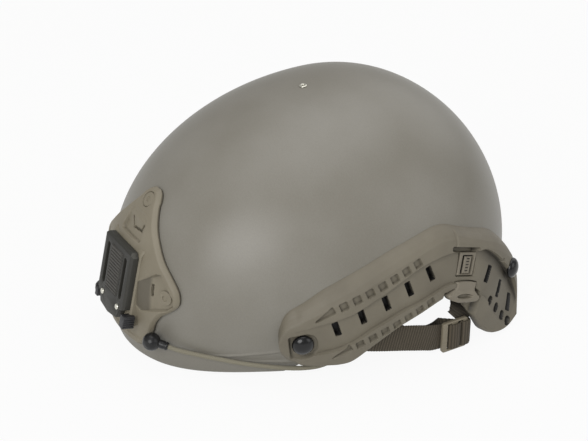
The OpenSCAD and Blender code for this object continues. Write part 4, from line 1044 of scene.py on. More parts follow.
@dataclass(frozen=True)
class Rail:
    """The accessory rail of one side with its channel, notches, slots and the pocket of the strap plug."""

    form: ShellForm = FORM
    face: float = 8.0
    rear_face: float = 14.0
    channel: float = 2.6
    rear_channel: float = 5.0
    wall: float = 0.01
    angle: float = 20.0
    slots: int = 5
    slot_from: tuple[float, float] = (-67.1, 42.7)
    slot_pitch: float = 17.0
    notches: int = 7
    notch: float = 5.2
    notch_deep: float = 2.2
    # first notch of each row and the way to the next one
    notch_rows: tuple[tuple[float, ...], ...] = ((-62.6, 57.9, 8.35, 2.8), (-52.7, 30.6, 7.95, 2.93))
    tear_drops: Places = ((-73.4, 53.9), (-62.8, 26.6))
    small_hole: tuple[float, float] = (54.6, 51.8)
    # share across the rail and share of its full height there
    section: Places = (
        (0, 0.74), (0.012, 0.9), (0.03, 0.98), (0.17, 1), (0.62, 1.03), (0.72, 1.0), (0.79, 0.97), (0.86, 0.8),
        (0.92, 0.54), (0.97, 0.26), (1, 0.03))
    columns: int = 620
    seat: float = 0.6
    # lower edge y and z, upper edge y and z, shares of the channel and of the rear arm, where across the rail the
    # channel starts and ends
    edges: tuple[tuple[float, ...], ...] = (
        (-99.8, 34, -100.2, 38, 0, 0, .19, .6), (-98, 27.5, -99, 45, 0, 0, .19, .6),
        (-93, 21, -94.5, 54, 0, 0, .2, .66), (-82, 17.5, -83.5, 61, .5, 0, .21, .66),
        (-70, 16, -74, 67, 1, 0, .23, .64), (-63, 15.5, -66, 70.6, 1, 0, .25, .63),
        (-56, 17, -57, 74.2, 1, 0, .27, .62), (-46, 24.8, -45, 78.6, 1, 0, .26, .61),
        (-36, 31.4, -35.5, 82, 1, 0, .23, .6), (-25.5, 37, -26, 85, 1, 0, .21, .61),
        (-12, 41.8, -11, 88.6, 1, 0, .18, .64), (.7, 46.2, 3, 91.4, 1, 0, .17, .62),
        (9, 48, 11, 91.6, 1, .05, .18, .61), (14, 45.1, 17.8, 90.2, 1, .11, .21, .64),
        (22.5, 36.7, 31, 84.4, 1, .25, .26, .7), (28, 28, 43, 79.3, 1, .45, .27, .77),
        (33, 19.5, 55, 73.5, 1, .65, .27, .74), (38, 11, 66, 64.8, 1, .85, .22, .7),
        (42.5, 6.4, 75, 53, 1, 1.05, .19, .68), (46.5, 4.2, 78, 39, .8, 1.25, .19, .7),
        (52, 3.4, 76, 25, .4, 1.5, .19, .72), (58, 4.2, 71.5, 14, 0, 1.75, .19, .6),
        (62, 6, 67.5, 9.5, 0, 1.85, .19, .6), (63.6, 7.4, 66, 8.6, 0, 1.87, .19, .6))
    screws: Places = ((-86.8, 34.8), (65.0, 42.6))
    rear_slots: Places = ((41.9, 50.4), (52.7, 34.6), (62.1, 18.6))
    rear_holes: Places = ((42.7, 31.2), (48.6, 22.8), (53.8, 14), (57.5, 7.8))
    plug: tuple[float, float] = (20.5, 57.1)
    plug_roll: float = -19.0

    def plug_spot(self) -> Spot:
        """Returns the middle of the plug's pocket on the shell."""
        return self.form.flank_spot(*self.plug, self.plug_roll)

    def places(self) -> tuple[Array, ...]:
        """Returns the places y and z, the share across, the shares of the channel and of the rear arm, and how far a
        place lies inside the channel, from 0 to 1 over its walls."""
        line = spline(self.edges, 12)
        mid = (line[:, 0:2] + line[:, 2:4]) / 2
        run = run_along(mid)
        r = resample(line, run, np.linspace(0, run[-1], self.columns))
        low, high, e = r[:, 6:7], r[:, 7:8], self.wall
        # rows stand close together at the channel's walls
        knots = (0 * low, low - 1.5 * e, low - 0.5 * e, low + 0.5 * e, low + 1.5 * e, high - 1.5 * e, high - 0.5 * e,
                 high + 0.5 * e, high + 1.5 * e, 1 + 0 * low)
        counts = (46, 4, 3, 4, 86, 4, 3, 4, 78)
        parts = [mix(a, b, np.arange(n) / n) for a, b, n in zip(knots, knots[1:], counts)]
        w = np.concatenate([*parts, knots[-1]], 1)
        y = mix(r[:, 0:1], r[:, 2:3], w)
        z = mix(r[:, 1:2], r[:, 3:4], w)
        inside = np.clip((w - low) / e + 0.5, 0, 1) * np.clip((high - w) / e + 0.5, 0, 1)
        tilt = np.clip((w - low) / (high - low), 0, 1)
        return y, z, w, np.broadcast_to(r[:, 4:5], y.shape), np.broadcast_to(r[:, 5:6], y.shape), inside, tilt

    def height(self, y: Array, z: Array, w: Array, open_share: Array, rear: Array,
               inside: Array, tilt: Array) -> tuple[Array, Array]:
        """Gives the rail's face and its openings.

        Args:
            y: places along the shell.
            z: heights.
            w: shares across the rail, from its lower edge.
            open_share: share of the channel.
            rear: share of the rear arm.
            inside: how far a place lies inside the channel.
            tilt: share across the channel.

        Returns:
            How far the face stands off the shell, and marks above 1 where an opening is, for the painted near-black
            shade inside it.
        """
        f = self.form
        face = mix(self.face, self.rear_face, rear)
        p = f.flank(y, z)
        over = p + f.out_dir(p) * face[..., None]
        top = face * np.interp(w, *np.array(self.section).T)
        front_end = np.hypot(y + 88, z - 37)
        top = top * (1 - 0.3 * ease((front_end - 10.8) / 5.0) * ease((-86 - y) / 5))
        # the channel, deepest under the flange of the rear arm
        turned = np.clip(rear, 0, 1)
        deep = mix(mix(self.channel, 0.6, turned), mix(self.channel, self.rear_channel, turned), tilt)
        top = top - deep * inside * ease(open_share)
        # raised block over the corner, between two seams
        block = np.clip((y - 16.6 - (z - 76.8) * 0.225) / 0.5, 0, 1)
        block = block * np.clip((39.8 + (z - 65.1) * 0.13 - y) / 0.5, 0, 1)
        top = top + 1.3 * block * (1 - inside) * (w > 0.5) * ease((0.98 - w) / 0.1)
        opening_shade = np.zeros(top.shape)
        notched, inner = self.face - self.notch_deep, self.inner(rear)
        (slot_y, slot_z), turn = self.slot_from, math.radians(self.angle)
        step_y, step_z = self.slot_pitch * math.cos(turn), self.slot_pitch * math.sin(turn)
        # place, roll, width, height, radius of the corners, floor, soft edge, mark and how far the mark reaches out
        cuts = [((y0 + i * dy, z0 + i * dz), self.angle, self.notch, self.notch, 0.6, notched, 0.6, 0, 0)
                for y0, z0, dy, dz in self.notch_rows for i in range(self.notches)]
        cuts += [((slot_y + i * step_y, slot_z + i * step_z), 17, 3.8, 10.4, 0.4, 0.2, 0.35, 1.6, 0.2)
                 for i in range(self.slots)]
        cuts += [(place, -38, 4.0, 11.4, 0.5, inner + 0.3, 0.35, 1.6, 0.4) for place in self.rear_slots]
        cuts += [(place, -40, 5.0, 6.0, 2.2, face - 5.0, 0.5, 1.3, 0.3) for place in self.rear_holes]
        cuts += [(self.small_hole, -17, 2.2, 6.2, 0.5, face - 3.0, 0.4, 0, 0)]
        for place, roll, wide, high, radius, floor, soft, mark, margin in cuts:
            a, b = f.flank_spot(*place, roll).local(over)
            edge = box_edge(a, b, wide, high, radius)
            top = sink(top, edge, floor, soft)
            # painted near-black shade inside the openings
            opening_shade = np.maximum(opening_shade, mark * (edge < margin))
        for place in self.tear_drops:
            a, b = f.flank_spot(*place, self.angle + 8).local(over)
            edge = shape_edge(a, b, [(-7.5, -0.6), (5.4, -1.9), (5.4, 1.9)], 0.5)
            top = sink(top, edge, notched, 0.6)
        # D-shaped seat of the front screw and the round one of the rear screw
        a, b = f.flank_spot(*self.screws[0], 6).local(over)
        seat = np.where(a > 0, box_edge(a - 0.5, b + 1.9, 18.2, 18.8, 8.6), box_edge(a - 0.5, b + 1.9, 18.2, 18.8, 1.6))
        top = sink(top, seat, 4.8, 1.0)
        a, b = f.flank_spot(*self.screws[1]).local(over)
        top = sink(top, np.hypot(a, b) - 7.9, 13.0, 0.6)
        return self.corner(top, over), opening_shade

    def corner(self, top: Array, over: Array) -> Array:
        """Returns the heights with the plug's pocket, the insert's window and the recess above it cut in."""
        a, b = self.plug_spot().local(over)
        top = sink(top, box_edge(a - 2.0, b - 8.2, 16.0, 16.6, 0.5), 2.2, 0.35)
        top = sink(top, box_edge(a + 2.2, b - 18.1, 22.4, 3.0, 1.4), 4.2, 0.5)
        arc = b + 2.7 + 1.0 * ((a - 4.3) / 9.6) ** 2
        top = sink(top, np.maximum(np.maximum(-5.7 - a, a - 14.1), arc), 2.2, 0.35)
        lip = b + 7.7 + 3.4 * np.clip((np.abs(a - 3.4) - 9.8) / 6.7, 0, 1)
        return sink(top, np.maximum(np.abs(a - 2.6) - 16.2, lip), 5.0, 0.4)

    def inner(self, rear: Array) -> Array:
        """Returns how far the rail's back stands off the shell."""
        return self.seat + (mix(self.face, self.rear_face, rear) - self.face) * 0.9

    def build(self, side: Side) -> None:
        """Makes the rail of one side and its screws."""
        f = self.form
        y, z, w, open_share, rear, inside, tilt = self.places()
        top, opening_shade = self.height(y, z, w, open_share, rear, inside, tilt)
        low = np.minimum(self.inner(rear), top - 0.3)
        # painted shadow in the rear channel under the flange, deepest next to it, and painted near-black shade inside
        # the openings
        near = np.clip((tilt - 0.72) / 0.28, 0, 1)
        shade = (inside > 0.5) * ease((rear - 0.3) / 0.3) * (open_share > 0.3) * (0.2 + 0.7 * near)
        shade = np.maximum(shade, opening_shade)
        p = f.flank(y, z)
        draft = MeshDraft()
        # painted shade in the hollows and at the base of the sides, up to the top edge
        draft.slab(f.off(p, top), f.off(p, low), shade_and_wear=np.maximum(hollows(top, 8, 2.4), shade), under=1.0 * (w < 0.9))
        draft.piece(f"rail_{side.value}_skin", RAIL_NYLON, side, replaces=[f"rail_{side.value}"])

    def fasten(self) -> None:
        """Makes the domed screws of both rails and dresses their nuts."""
        draft, nuts = MeshDraft(), MeshDraft()
        r, rise = 7.1, 4.6
        for side in Side:
            for k, (y, z) in enumerate(self.screws):
                base = (self.face, self.rear_face)[k] - 1.2
                spot = self.form.flank_spot(y, z)
                turned = Spot(*(side.place(v) for v in (spot.origin, spot.x, spot.y, spot.n)))
                dome = [(r * math.sin(a) + 0.01, base + rise * math.cos(a)) for a in np.linspace(0, math.pi / 2, 16)]
                draft.lathe(turned, [*dome, (r - 0.3, base - 0.6), (r - 0.8, base - 1.1), (2.3, base - 1.15),
                                     (2.3, -self.form.wall - SCREW_END)], 64)
                add_nut(nuts, turned, self.form.wall)
        draft.piece("rail_screw_domes", SCREW_BLACK, replaces=["rail_screws"])
        nuts.piece("rail_nut_set", ZINC, replaces=["rail_nuts"])


@dataclass(frozen=True)
class StrapPlug:
    """The plug in the rail's corner: its tongue, its neck, the flared finger lip, and the latch over it."""

    rail: Rail = Rail()
    floor: float = 2.5
    tongue: float = 1.5
    neck_face: float = 8.7
    lip_face: float = 10.6
    # places down the plug with its left and right edge
    outline: tuple[tuple[float, float, float], ...] = (
        (-3.0, -4.9, 13.3), (-3.4, -5.2, 13.6), (-6.6, -5.3, 13.4), (-8.2, -5.7, 13.1), (-9.4, -7.9, 13.3),
        (-11.9, -12.6, 14.9), (-12.8, -12.6, 16.6), (-14.3, -11.0, 17.2), (-15.4, -8.8, 16.2), (-16.3, -5.4, 13.8),
        (-16.9, -1.6, 9.4))
    insert_top: float = 6.7
    latch_top: float = 7.0
    latch_thick: float = 1.2

    def build(self, side: Side) -> None:
        """Makes the plug of one side with the latch and its frame."""
        spot = self.rail.plug_spot()
        table = np.array(self.outline)[::-1]
        b = np.linspace(table[-1, 0], table[0, 0], 80)
        left, right = (np.interp(b, table[:, 0], table[:, k])[:, None] for k in (1, 2))
        a = mix(left, right, np.linspace(0, 1, 100)[None, :])
        bb = b[:, None] - 1.0 * ((a - 2.8) / 9.6) ** 2 * ease((b[:, None] + 8) / 4)
        rise = ease((-8.6 - bb) / 4.0)
        top = mix(self.neck_face, self.lip_face, rise)
        edge = np.minimum(np.minimum(a - left, right - a), bb + 17.1)
        top = top - 1.6 * (1 - np.sqrt(np.clip(edge / 1.6, 0, 1)))
        slot = np.hypot((a - 2.4) / 6.6, (bb + 12.7) / 1.4) - 1
        top = np.maximum(top - 3.2 * ease(0.5 - slot / 0.5), 4.5)
        draft = MeshDraft()
        low = np.minimum(self.floor + 2.6 * rise, top - 1.2)
        # painted shade in the hollows and at the base of the sides
        draft.slab(spot.at(a, bb, top), spot.at(a, bb, low), shade_and_wear=hollows(top, 6, 2.4), under=1.0)
        ta, tb = lattice((-8.2, 8.2, 8), (-6, 15, 8))
        draft.slab(spot.at(ta, tb, self.floor + self.tongue), spot.at(ta, tb, self.floor))
        draft.piece(f"plug_{side.value}_lip", PLUG_NYLON, side, f"plug_{side.value}", [f"plug_{side.value}"])
        self.insert(side)
        self.latch(side)

    def insert(self, side: Side) -> None:
        """Makes the frame that is pressed into the rail over the plug's tongue."""
        spot = self.rail.plug_spot()
        a, b = lattice((-5.4, 9.4, 110), (0.6, 16.0, 100))
        edge = -box_edge(a - 2.0, b - 8.3, 14.8, 15.4, 0.5)
        top = self.insert_top - 0.5 * (1 - np.clip(edge / 0.5, 0, 1))
        window = box_edge(a - 2.0, b - 7.9, 10.4, 12.6, 0.6)
        top = sink(top, window, self.insert_top - 2.2, 0.3)
        draft = MeshDraft()
        # painted shade in the hollows, and the whole window under the latch painted dark
        shade_and_wear = np.maximum(hollows(top, 5, 1.4), 1.0 * (window < 0))
        draft.slab(spot.at(a, b, top), spot.at(a, b, self.insert_top - 2.6), shade_and_wear=shade_and_wear, under=1.0)
        draft.piece(f"insert_{side.value}_frame", PLUG_NYLON, side, replaces=[f"insert_{side.value}"])

    def latch(self, side: Side) -> None:
        """Makes the sprung tongue in the frame, with its ribs for the finger."""
        spot = self.rail.plug_spot()
        a, b = lattice((-1.3, 5.3, 60), (1.9, 13.4, 110))
        edge = -box_edge(a - 2.0, b - 7.65, 6.6, 11.5, 0.5)
        top = self.latch_top - 0.4 * (1 - np.clip(edge / 0.5, 0, 1))
        cut = np.full(a.shape, 9.0)
        for k in range(5):
            cut = np.minimum(cut, box_edge(a - 2.2, b - 3.9 - 2.0 * k, 3.0, 0.8, 0.2))
        top = sink(top, cut, self.latch_top - 0.7, 0.25)
        draft = MeshDraft()
        # painted shade in the hollows and in the grooves between the ribs
        shade_and_wear = np.maximum(hollows(top, 4, 1.2), 1.0 * (cut < 0))
        draft.slab(spot.at(a, b, top), spot.at(a, b, self.latch_top - self.latch_thick), shade_and_wear=shade_and_wear, under=1.0)
        draft.piece(f"latch_{side.value}_tongue", PLUG_NYLON, side, f"latch_{side.value}", [f"latch_{side.value}"])


@dataclass(frozen=True)
class Run:
    """A strap's way: places and the direction of its width at each."""

    stops: tuple[tuple[tuple[float, ...], tuple[float, ...]], ...]
    steps: int = 14
    across: int = 12
    rib_mm: float = 1.9
    rib_h: float = 0.2
    rib_rows: int = 5
    wide: float = 19.0
    thick: float = 1.5

    def build(self, draft: MeshDraft) -> None:
        """Adds the strap's webbing with its cross ribs and bound edges."""
        path = spline([s[0] for s in self.stops], self.steps)
        width = unit(spline([s[1] for s in self.stops], self.steps))
        run = run_along(path)
        s = np.linspace(0, run[-1], max(8, int(run[-1] / self.rib_mm * self.rib_rows)))
        path, width = resample(path, run, s), unit(resample(width, run, s))
        along = unit(np.gradient(path, axis=0))
        width = unit(width - along * (along * width).sum(-1, keepdims=True))
        face = np.cross(along, width)
        a = np.linspace(-1, 1, self.across)
        bound = 1 - 0.4 * ease((np.abs(a) - 0.8) / 0.2)
        half = self.thick / 2 - self.rib_h
        rib = self.rib_h * (0.5 + 0.5 * np.sin(2 * np.pi * s / self.rib_mm))[:, None] * (np.abs(a) < 0.97)
        top = half * bound + rib
        low = half * bound + rib[:, ::-1]
        reach = self.wide / 2 - 0.2 * (0.5 - 0.5 * np.sin(2 * np.pi * s / self.rib_mm))
        w = path[:, None] + width[:, None] * (a * reach[:, None])[..., None]
        ring = np.concatenate([w + face[:, None] * top[..., None], (w - face[:, None] * low[..., None])[:, ::-1]], 1)
        places = np.concatenate([a, a[::-1]]) * self.wide / 2
        n = ring.shape[1]
        start = draft.grid(ring, close_v=True, weave=(s, np.append(places, places[0])))
        draft.cap(start, n, len(s))
        draft.weave += [[(0.0, 0.0)] * n] * 2


@dataclass(frozen=True)
class ChinStrap:
    """The straps of both sides with their sliders, the buckle and the chin cup."""

    form: ShellForm = FORM
    slider: tuple[float, float, float] = (117.5, 20.2, 12.0)
    slip: float = 2.35
    buckle_x: float = -54.0
    chin_y: float = -4.0
    ground: float = 0.35

    def at(self, x: float, y: float, z: float = 0.0) -> tuple[float, ...]:
        """Returns a place measured from the slider's middle."""
        return (self.slider[0] + x, self.slider[1] + y, self.slider[2] + z)

    def front_run(self) -> Run:
        """Returns the way of the front strap, from the front screw to the slider's middle bar."""
        start = tuple(self.form.off(self.form.flank(-80, 28), -self.form.wall - 3.8))
        s, up = self.slip, (0, 0, 1)
        return Run((
            (start, (0, 0.1, 1)), ((91.5, -68, 27.5), (0.05, 0.1, 1)), ((96, -61, 27), (0.1, 0.1, 1)),
            ((102, -52.5, 26.3), (0.12, 0.1, 1)), ((110, -43, 25), (0.12, 0.1, 1)), ((114.4, -16, 19.3), up),
            ((115.9, 0, 15), up), (self.at(-s, -12, 0.4), up), (self.at(-s, -6.4), up), (self.at(-1.5, -4.7), up),
            (self.at(1.4, -3.9), up), (self.at(s, -2.2), up), (self.at(s, 1.6), up), (self.at(1.6, 3.4), up)))

    def rear_run(self) -> Run:
        """Returns the way of the rear strap, which rises behind the slider and turns under the shell's edge."""
        end = tuple(self.form.off(self.form.flank(61, 45), -self.form.wall - 4))
        return Run((
            (self.at(-self.slip - 0.4, 2.5, 9.9), (0, 1, 0)), ((114.3, 25.5, 24.4), (-0.1, 1, 0)),
            ((112.0, 28.5, 27.4), (-0.4, 1, -0.05)), ((106, 33, 29.8), (-0.8, 0.7, -0.3)),
            ((99.6, 37.5, 33.2), (-0.5, 0.5, -0.6)), ((95.8, 44.5, 39.5), (-0.2, 0.3, -0.9)), (end, (0, 0.1, -1))))

    def chin_run(self, bar_x: float) -> Run:
        """Returns the way of the lower strap, from the slider's rear bar along the ground to a buckle's bar."""
        s, up, flat = self.slip, (0, 0, 1), (0, 1, 0)
        lie = self.ground + 0.75
        loop = ((8, -3.45), (4, -3.2), (0, -2.6), (-2, -1.7), (-2.6, 0), (-2, 1.8), (0, 2.6), (3, 2.1), (6, -0.6),
                (9, -1.7))
        stops = [
            (self.at(0, 5.1), up), (self.at(2, 5.3), up), (self.at(s + 0.1, 8), up), (self.at(1.9, 10.9), up),
            (self.at(0, 11.4), up), (self.at(-1.9, 10.9), up), (self.at(-s - 0.1, 8), up),
            (self.at(-3.8, 4, -0.3), (0.1, 0, 1)), (self.at(-7, -2, -0.8), (0, 0.2, 1)),
            ((106.5, 14, 9.2), (-0.2, 0.6, 0.6)), ((98, 7.4, 4.6), (-0.35, 0.9, 0.25)),
            ((89, 0.6, lie + 0.7), (-0.45, 0.9, 0.05))]
        stops += [((x, y, lie), flat) for x, y in ((78, -3.4), (68, -4), (30, -4), (0, -4)) if x > bar_x + 10]
        stops += [((bar_x + x, self.chin_y, self.ground + 4.2 + z), flat) for x, z in loop]
        return Run(tuple(stops), steps=12)

    def build(self, side: Side) -> None:
        """Makes the straps of one side."""
        bar_x = self.buckle_x + 19.9 if side is Side.LEFT else 18.2 - self.buckle_x
        name = side.value
        for piece, node, run, finish in (("front_strap", "strap_front", self.front_run(), WEBBING),
                                         ("rear_strap", "strap_rear", self.rear_run(), WEBBING_DARK),
                                         ("chin_strap", "chin_strap", self.chin_run(bar_x), WEBBING)):
            draft = MeshDraft()
            run.build(draft)
            draft.piece(f"{piece}_{name}_web", finish, side, replaces=[f"{node}_{name}"])
        dress(f"slider_{name}", BUCKLE_NYLON, 0.6)

    def fasten(self) -> None:
        """Makes the chin cup and dresses the buckle."""
        u, v = lattice((-1, 1, 60), (-1, 1, 40))
        round_off = 1 - 0.2 * np.abs(u) ** 6
        x, y = u * 29, self.chin_y + v * 17 * round_off * np.sqrt(np.maximum(0.0, 1 - np.abs(u) ** 9 * 0.3))
        low = self.ground + 1.85 + 7 * u ** 2 + 6 * v ** 2
        thick = 0.9 + 1.7 * np.sqrt(np.maximum(0, 1 - np.maximum(np.abs(u), np.abs(v)) ** 8))
        draft = MeshDraft()
        draft.slab(np.stack([x, y, low + thick], -1), np.stack([x, y, low], -1))
        draft.piece("chin_cup_skin", CUP_RUBBER, replaces=["chin_cup"])
        dress("buckle_female", BUCKLE_NYLON, 0.5)
        dress("buckle_male", BUCKLE_NYLON, 0.4)


@dataclass(frozen=True)
class Bungee:
    """The elastic cord of one side with the knob that holds it on the shroud."""

    form: ShellForm = FORM
    cord_d: float = 3.2
    knob_d: float = 12.0
    step: float = 0.35
    braid_pitch: float = 9.0
    braid_h: float = 0.16

    def lift(self) -> float:
        """Returns how far the cord's middle stands off the shell."""
        return self.cord_d / 2 + 0.6 + self.form.band_h

    def path(self) -> Array:
        """Returns the cord's middle line."""
        f, c = self.form, self.lift()
        stops = [f.off(f.brow(44, 20.6), c + 1.6), f.off(f.brow(54, 19.5), c + 0.5)]
        stops += [f.off(f.turn(t, z), c + d) for t, z, d in (
            (-57, 17.0, 0), (-49, 14.4, 0.3), (-43.5, 12.6, 0.5), (-39, 12.4, 0.6), (-35.8, 13.8, 0.6),
            (-33, 16.4, 0.2))]
        return spline(stops, 24)

    def build(self, side: Side) -> None:
        """Makes the cord and its knob on one side."""
        f, c = self.form, self.lift()
        path = self.path()
        cord = MeshDraft()
        sides = 24
        along = unit(np.gradient(path, axis=0))
        over = unit(np.cross(along, UP))
        other = np.cross(over, along)
        run = run_along(path)
        s = np.linspace(0, run[-1], int(run[-1] / self.step))
        path, over, other = (resample(v, run, s) for v in (path, over, other))
        a = np.arange(sides) * 2 * np.pi / sides
        turn = 2 * np.pi * s[:, None] / self.braid_pitch
        braid = np.abs(np.sin(4 * (a + turn)) * np.sin(4 * (a - turn)))
        r = self.cord_d / 2 - self.braid_h + self.braid_h * braid
        outward = over[:, None] * np.cos(a)[None, :, None] + other[:, None] * np.sin(a)[None, :, None]
        start = cord.grid(path[:, None] + outward * r[..., None], close_v=True,
                          weave=(s, np.arange(sides + 1) * math.pi * self.cord_d / sides))
        cord.cap(start, sides, len(s))
        cord.weave += [[(0.0, 0.0)] * sides] * 2
        cord.piece(f"cord_{side.value}_braid", CORD_BRAID, side, replaces=[f"bungee_{side.value}"])
        hook = MeshDraft()
        spot = f.brow_spot(35, 22.7, 0, self.knob_d / 2 + f.band_h + GAP + 1.0)
        r = self.knob_d / 2
        ball = [(r * math.sin(b) + 0.01, r * math.cos(b) * (0.94 if b < 0.5 else 1))
                for b in np.linspace(0, math.pi, 25)]
        hook.lathe(spot, ball, 40)
        ends = [f.off(f.brow(38, 22), c + 3.4), f.off(f.brow(42, 21.2), c + 2.2), path[0]]
        ends[2] = ends[2] + (ends[1] - ends[2]) * 0.12
        line = spline(ends, 12)
        share = np.linspace(0, 1, len(line))
        groove = 0.3 * (np.abs(share - 0.55) < 0.06)
        hook.tube(line, self.cord_d / 2 + 1.25 - 0.5 * ease((share - 0.75) / 0.25) - groove, 24)
        hook.piece(f"hook_{side.value}_knob", HOOK_ACETAL, side, replaces=[f"hook_{side.value}"])


@dataclass(frozen=True)
class Liner:
    """The foam pads inside the shell and the hook patches that hold them."""

    form: ShellForm = FORM
    lift: float = 1.8
    thick: float = 15.0
    travel: float = 1.6
    voxel: float = 3.5
    pressure: float = 4.0
    stiffness: float = 12.0
    last_step: int = 18
    full: float = 0.7
    crown_w: float = 92.0
    crown_y: float = 12.0
    places: tuple[tuple[str, tuple[float, float, float, float], Side], ...] = (
        ("pad_front", (-102, -78, 30, 80), Side.LEFT), ("pad_rear", (67, 113, 24, 64), Side.LEFT),
        ("pad_left", (-36, 6, 66, 104), Side.LEFT), ("pad_right", (-36, 6, 66, 104), Side.RIGHT),
        ("pad_rear_left", (20, 58, 62, 100), Side.LEFT), ("pad_rear_right", (20, 58, 62, 100), Side.RIGHT))

    def sheet(self, box: tuple[float, float, float, float] | None, depth: float, swollen: bool) -> Array:
        """Returns one face of a pad, its corners rounded, depth away from the shell."""
        c, e = lattice((-1, 1, 30), (-1, 1, 34))
        x = e * np.sqrt(1 - 0.34 * c ** 4)
        y = c * np.sqrt(1 - 0.34 * e ** 4)
        if box is None:
            p = self.form.dome(x * self.crown_w / 2, self.crown_y + y * self.crown_w * 0.46)
        else:
            p = self.form.turn(mix(box[0], box[1], 0.5 + 0.5 * x), mix(box[2], box[3], 0.5 + 0.5 * y))
        crown = (np.maximum(0, 1 - np.abs(c) ** 6) * np.maximum(0, 1 - np.abs(e) ** 6)) ** 0.4
        grow = depth + (self.thick - depth - self.lift) * crown if swollen else depth
        return self.form.off(p, -self.form.wall - self.lift - grow)

    def swell(self, pad: bpy.types.Object) -> None:
        """Blows the pad up as stitched fabric over foam, each point moving a little at most.

        Args:
            pad: the pad's object.
        """
        bpy.context.view_layer.objects.active = pad
        remesh = pad.modifiers.new("remesh", "REMESH")
        remesh.mode = "VOXEL"
        remesh.voxel_size = self.voxel * MM
        graph = bpy.context.evaluated_depsgraph_get()
        pad.data = bpy.data.meshes.new_from_object(pad.evaluated_get(graph), depsgraph=graph)
        pad.modifiers.clear()
        rest = np.empty(len(pad.data.vertices) * 3)
        pad.data.vertices.foreach_get("co", rest)
        cloth = pad.modifiers.new("cloth", "CLOTH")
        cloth.settings.use_pressure = True
        cloth.settings.uniform_pressure_force = self.pressure
        cloth.settings.effector_weights.gravity = 0.0
        cloth.settings.tension_stiffness = cloth.settings.compression_stiffness = self.stiffness
        scene = bpy.context.scene
        for step in range(1, self.last_step + 1):
            scene.frame_set(step)
        graph = bpy.context.evaluated_depsgraph_get()
        moved = bpy.data.meshes.new_from_object(pad.evaluated_get(graph), depsgraph=graph)
        now = np.empty(len(moved.vertices) * 3)
        moved.vertices.foreach_get("co", now)
        pad.modifiers.clear()
        scene.frame_set(1)
        shift = (now - rest).reshape(-1, 3)
        far = np.linalg.norm(shift, axis=1, keepdims=True)
        shift *= np.minimum(1, self.travel * MM / np.maximum(far, 1e-9))
        pad.data.vertices.foreach_set("co", rest + shift.ravel())
        pad.data.update()
        pad.data.shade_smooth()

    def build(self) -> None:
        """Makes the pads and their patches."""
        for name, box, side in (*self.places, ("pad_crown", None, Side.LEFT)):
            draft = MeshDraft()
            draft.slab(self.sheet(box, 1.2, False), self.sheet(box, 3.6, True))
            pad = draft.piece(f"{name}_cover", PAD_FABRIC, side, replaces=[name], crisp=180)
            self.swell(pad)
            smooth = pad.modifiers.new("smooth", "SUBSURF")
            smooth.levels = smooth.render_levels = 1
            seam = MeshDraft()
            edge = self.sheet(box, 3.0, False)
            rim = np.concatenate([edge[:-1, 0], edge[-1, :-1], edge[:0:-1, -1], edge[0, :0:-1]])
            rim = rim + (rim - rim.mean(0)) * 0.006
            seam.tube(spline(np.concatenate([rim, rim[:1]]), 2), 1.1, 10, caps=False)
            seam.piece(f"{name}_seam", HOOK_TAPE, side)
        dress("pad_patches", HOOK_TAPE, 0)


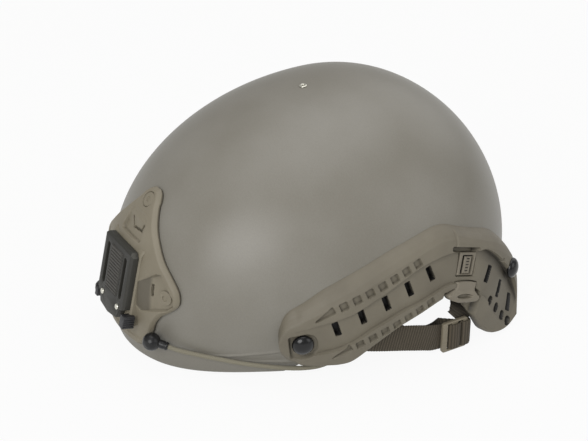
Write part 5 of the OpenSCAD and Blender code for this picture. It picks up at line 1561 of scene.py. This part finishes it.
@dataclass(frozen=True)
class Stage:
    """The photograph's setting: a white floor and backdrop, soft studio lamps and the camera."""

    floor_size: float = 6.0
    shadow: float = 0.07
    room_light: float = 0.42
    aim: tuple[float, float, float] = (0.0, -0.01, 0.08)
    sensor: float = 36.0
    camera_at: tuple[float, float, float] = (750.68, -443.43, 543.80)
    back: tuple[float, float, float] = (0.75253, -0.44220, 0.48801)
    lens: float = 88.163
    lamps: tuple[tuple[str, tuple[float, float, float], float, float], ...] = (
        ("key_softbox", (1.0, -1.3, 1.0), 1.3, 22.0), ("fill_softbox", (1.7, 1.2, 1.1), 1.6, 8.0),
        ("top_softbox", (-0.2, 0.2, 2.0), 1.8, 14.0), ("back_softbox", (-0.6, 1.7, 1.3), 2.0, 9.0))

    def backdrop(self, name: str, shade: float) -> bpy.types.Material:
        """Makes the painted white of the floor, plain white to the camera except for the object's shadow.

        Args:
            name: the material's name.
            shade: share of the shadow that the camera sees.

        Returns:
            The material.
        """
        made = bpy.data.materials.new(name)
        made.use_nodes = True
        tree = made.node_tree
        tree.nodes.clear()
        place = add_node(tree, "TexCoord").outputs["Object"]
        cloud = add_node(tree, "TexNoise", {"Vector": place, "Scale": 3.0, "Detail": 2.0})
        tone = add_node(tree, "Mix", {0: cloud, 6: "#c3c3c1", 7: "#c7c7c5"})
        paint = add_node(tree, "BsdfDiffuse", {"Color": tone})
        white = add_node(tree, "Emission", {"Color": (1, 1, 1, 1), "Strength": 1.0})
        rays = add_node(tree, "LightPath")
        seen = add_node(tree, "Math", {0: rays.outputs["Is Camera Ray"], 1: rays.outputs["Is Glossy Ray"]},
                        operation="MAXIMUM")
        seen = add_node(tree, "Math", {0: seen, 1: rays.outputs["Is Transmission Ray"]}, operation="MAXIMUM")
        share = add_node(tree, "Math", {0: seen, 1: 1 - shade}, operation="MULTIPLY")
        both = add_node(tree, "MixShader", {0: share, 1: paint, 2: white})
        add_node(tree, "OutputMaterial", {"Surface": both})
        return made

    def camera(self) -> None:
        """Sets up the camera at the photograph's angle."""
        data = bpy.data.cameras.new("studio_camera")
        data.lens = self.lens
        data.sensor_width = self.sensor
        data.sensor_fit = "HORIZONTAL"
        data.clip_start = 0.05
        camera = bpy.data.objects.new("studio_camera", data)
        camera.location = Vector(self.camera_at) * MM
        camera.rotation_euler = Vector(self.back).to_track_quat("Z", "Y").to_euler()
        bpy.context.scene.collection.objects.link(camera)
        bpy.context.scene.camera = camera

    def light(self) -> None:
        """Sets up the lamps and the world."""
        for name, place, size, power in self.lamps:
            data = bpy.data.lights.new(name, "AREA")
            data.shape = "DISK"
            data.size = size
            data.energy = power
            lamp = bpy.data.objects.new(name, data)
            lamp.location = place
            lamp.rotation_euler = (Vector(place) - Vector(self.aim)).to_track_quat("Z", "Y").to_euler()
            bpy.context.scene.collection.objects.link(lamp)
        world = bpy.data.worlds.new("studio_room")
        bpy.context.scene.world = world
        world.use_nodes = True
        tree = world.node_tree
        tree.nodes.clear()
        rays = add_node(tree, "LightPath")
        seen = add_node(tree, "Math", {0: rays.outputs["Is Camera Ray"], 1: rays.outputs["Is Transmission Ray"]},
                        operation="MAXIMUM")
        room = add_node(tree, "Background", {"Color": (1, 1, 1, 1), "Strength": self.room_light})
        white = add_node(tree, "Background", {"Color": (1, 1, 1, 1), "Strength": 1.0})
        both = add_node(tree, "MixShader", {0: seen, 1: room, 2: white})
        add_node(tree, "OutputWorld", {"Surface": both})

    def build(self) -> None:
        """Makes the floor, the camera and the lights."""
        bpy.ops.mesh.primitive_plane_add(size=self.floor_size, location=(0, 0, 0))
        floor = bpy.context.object
        floor.name = "studio_floor"
        floor.data.materials.append(self.backdrop("painted_studio_floor", self.shadow))
        self.camera()
        self.light()
        bpy.context.scene.view_settings.view_transform = "Standard"


def main() -> None:
    """Builds every piece in order."""
    logging.basicConfig(level=logging.INFO, format="%(name)s %(message)s")
    Stage().build()
    Shell().build()
    Shroud().build()
    rail, plug, straps, bungee = Rail(), StrapPlug(), ChinStrap(), Bungee()
    for side in Side:
        rail.build(side)
        plug.build(side)
        straps.build(side)
        bungee.build(side)
    rail.fasten()
    straps.fasten()
    Liner().build()


if __name__ == "__main__":
    main()
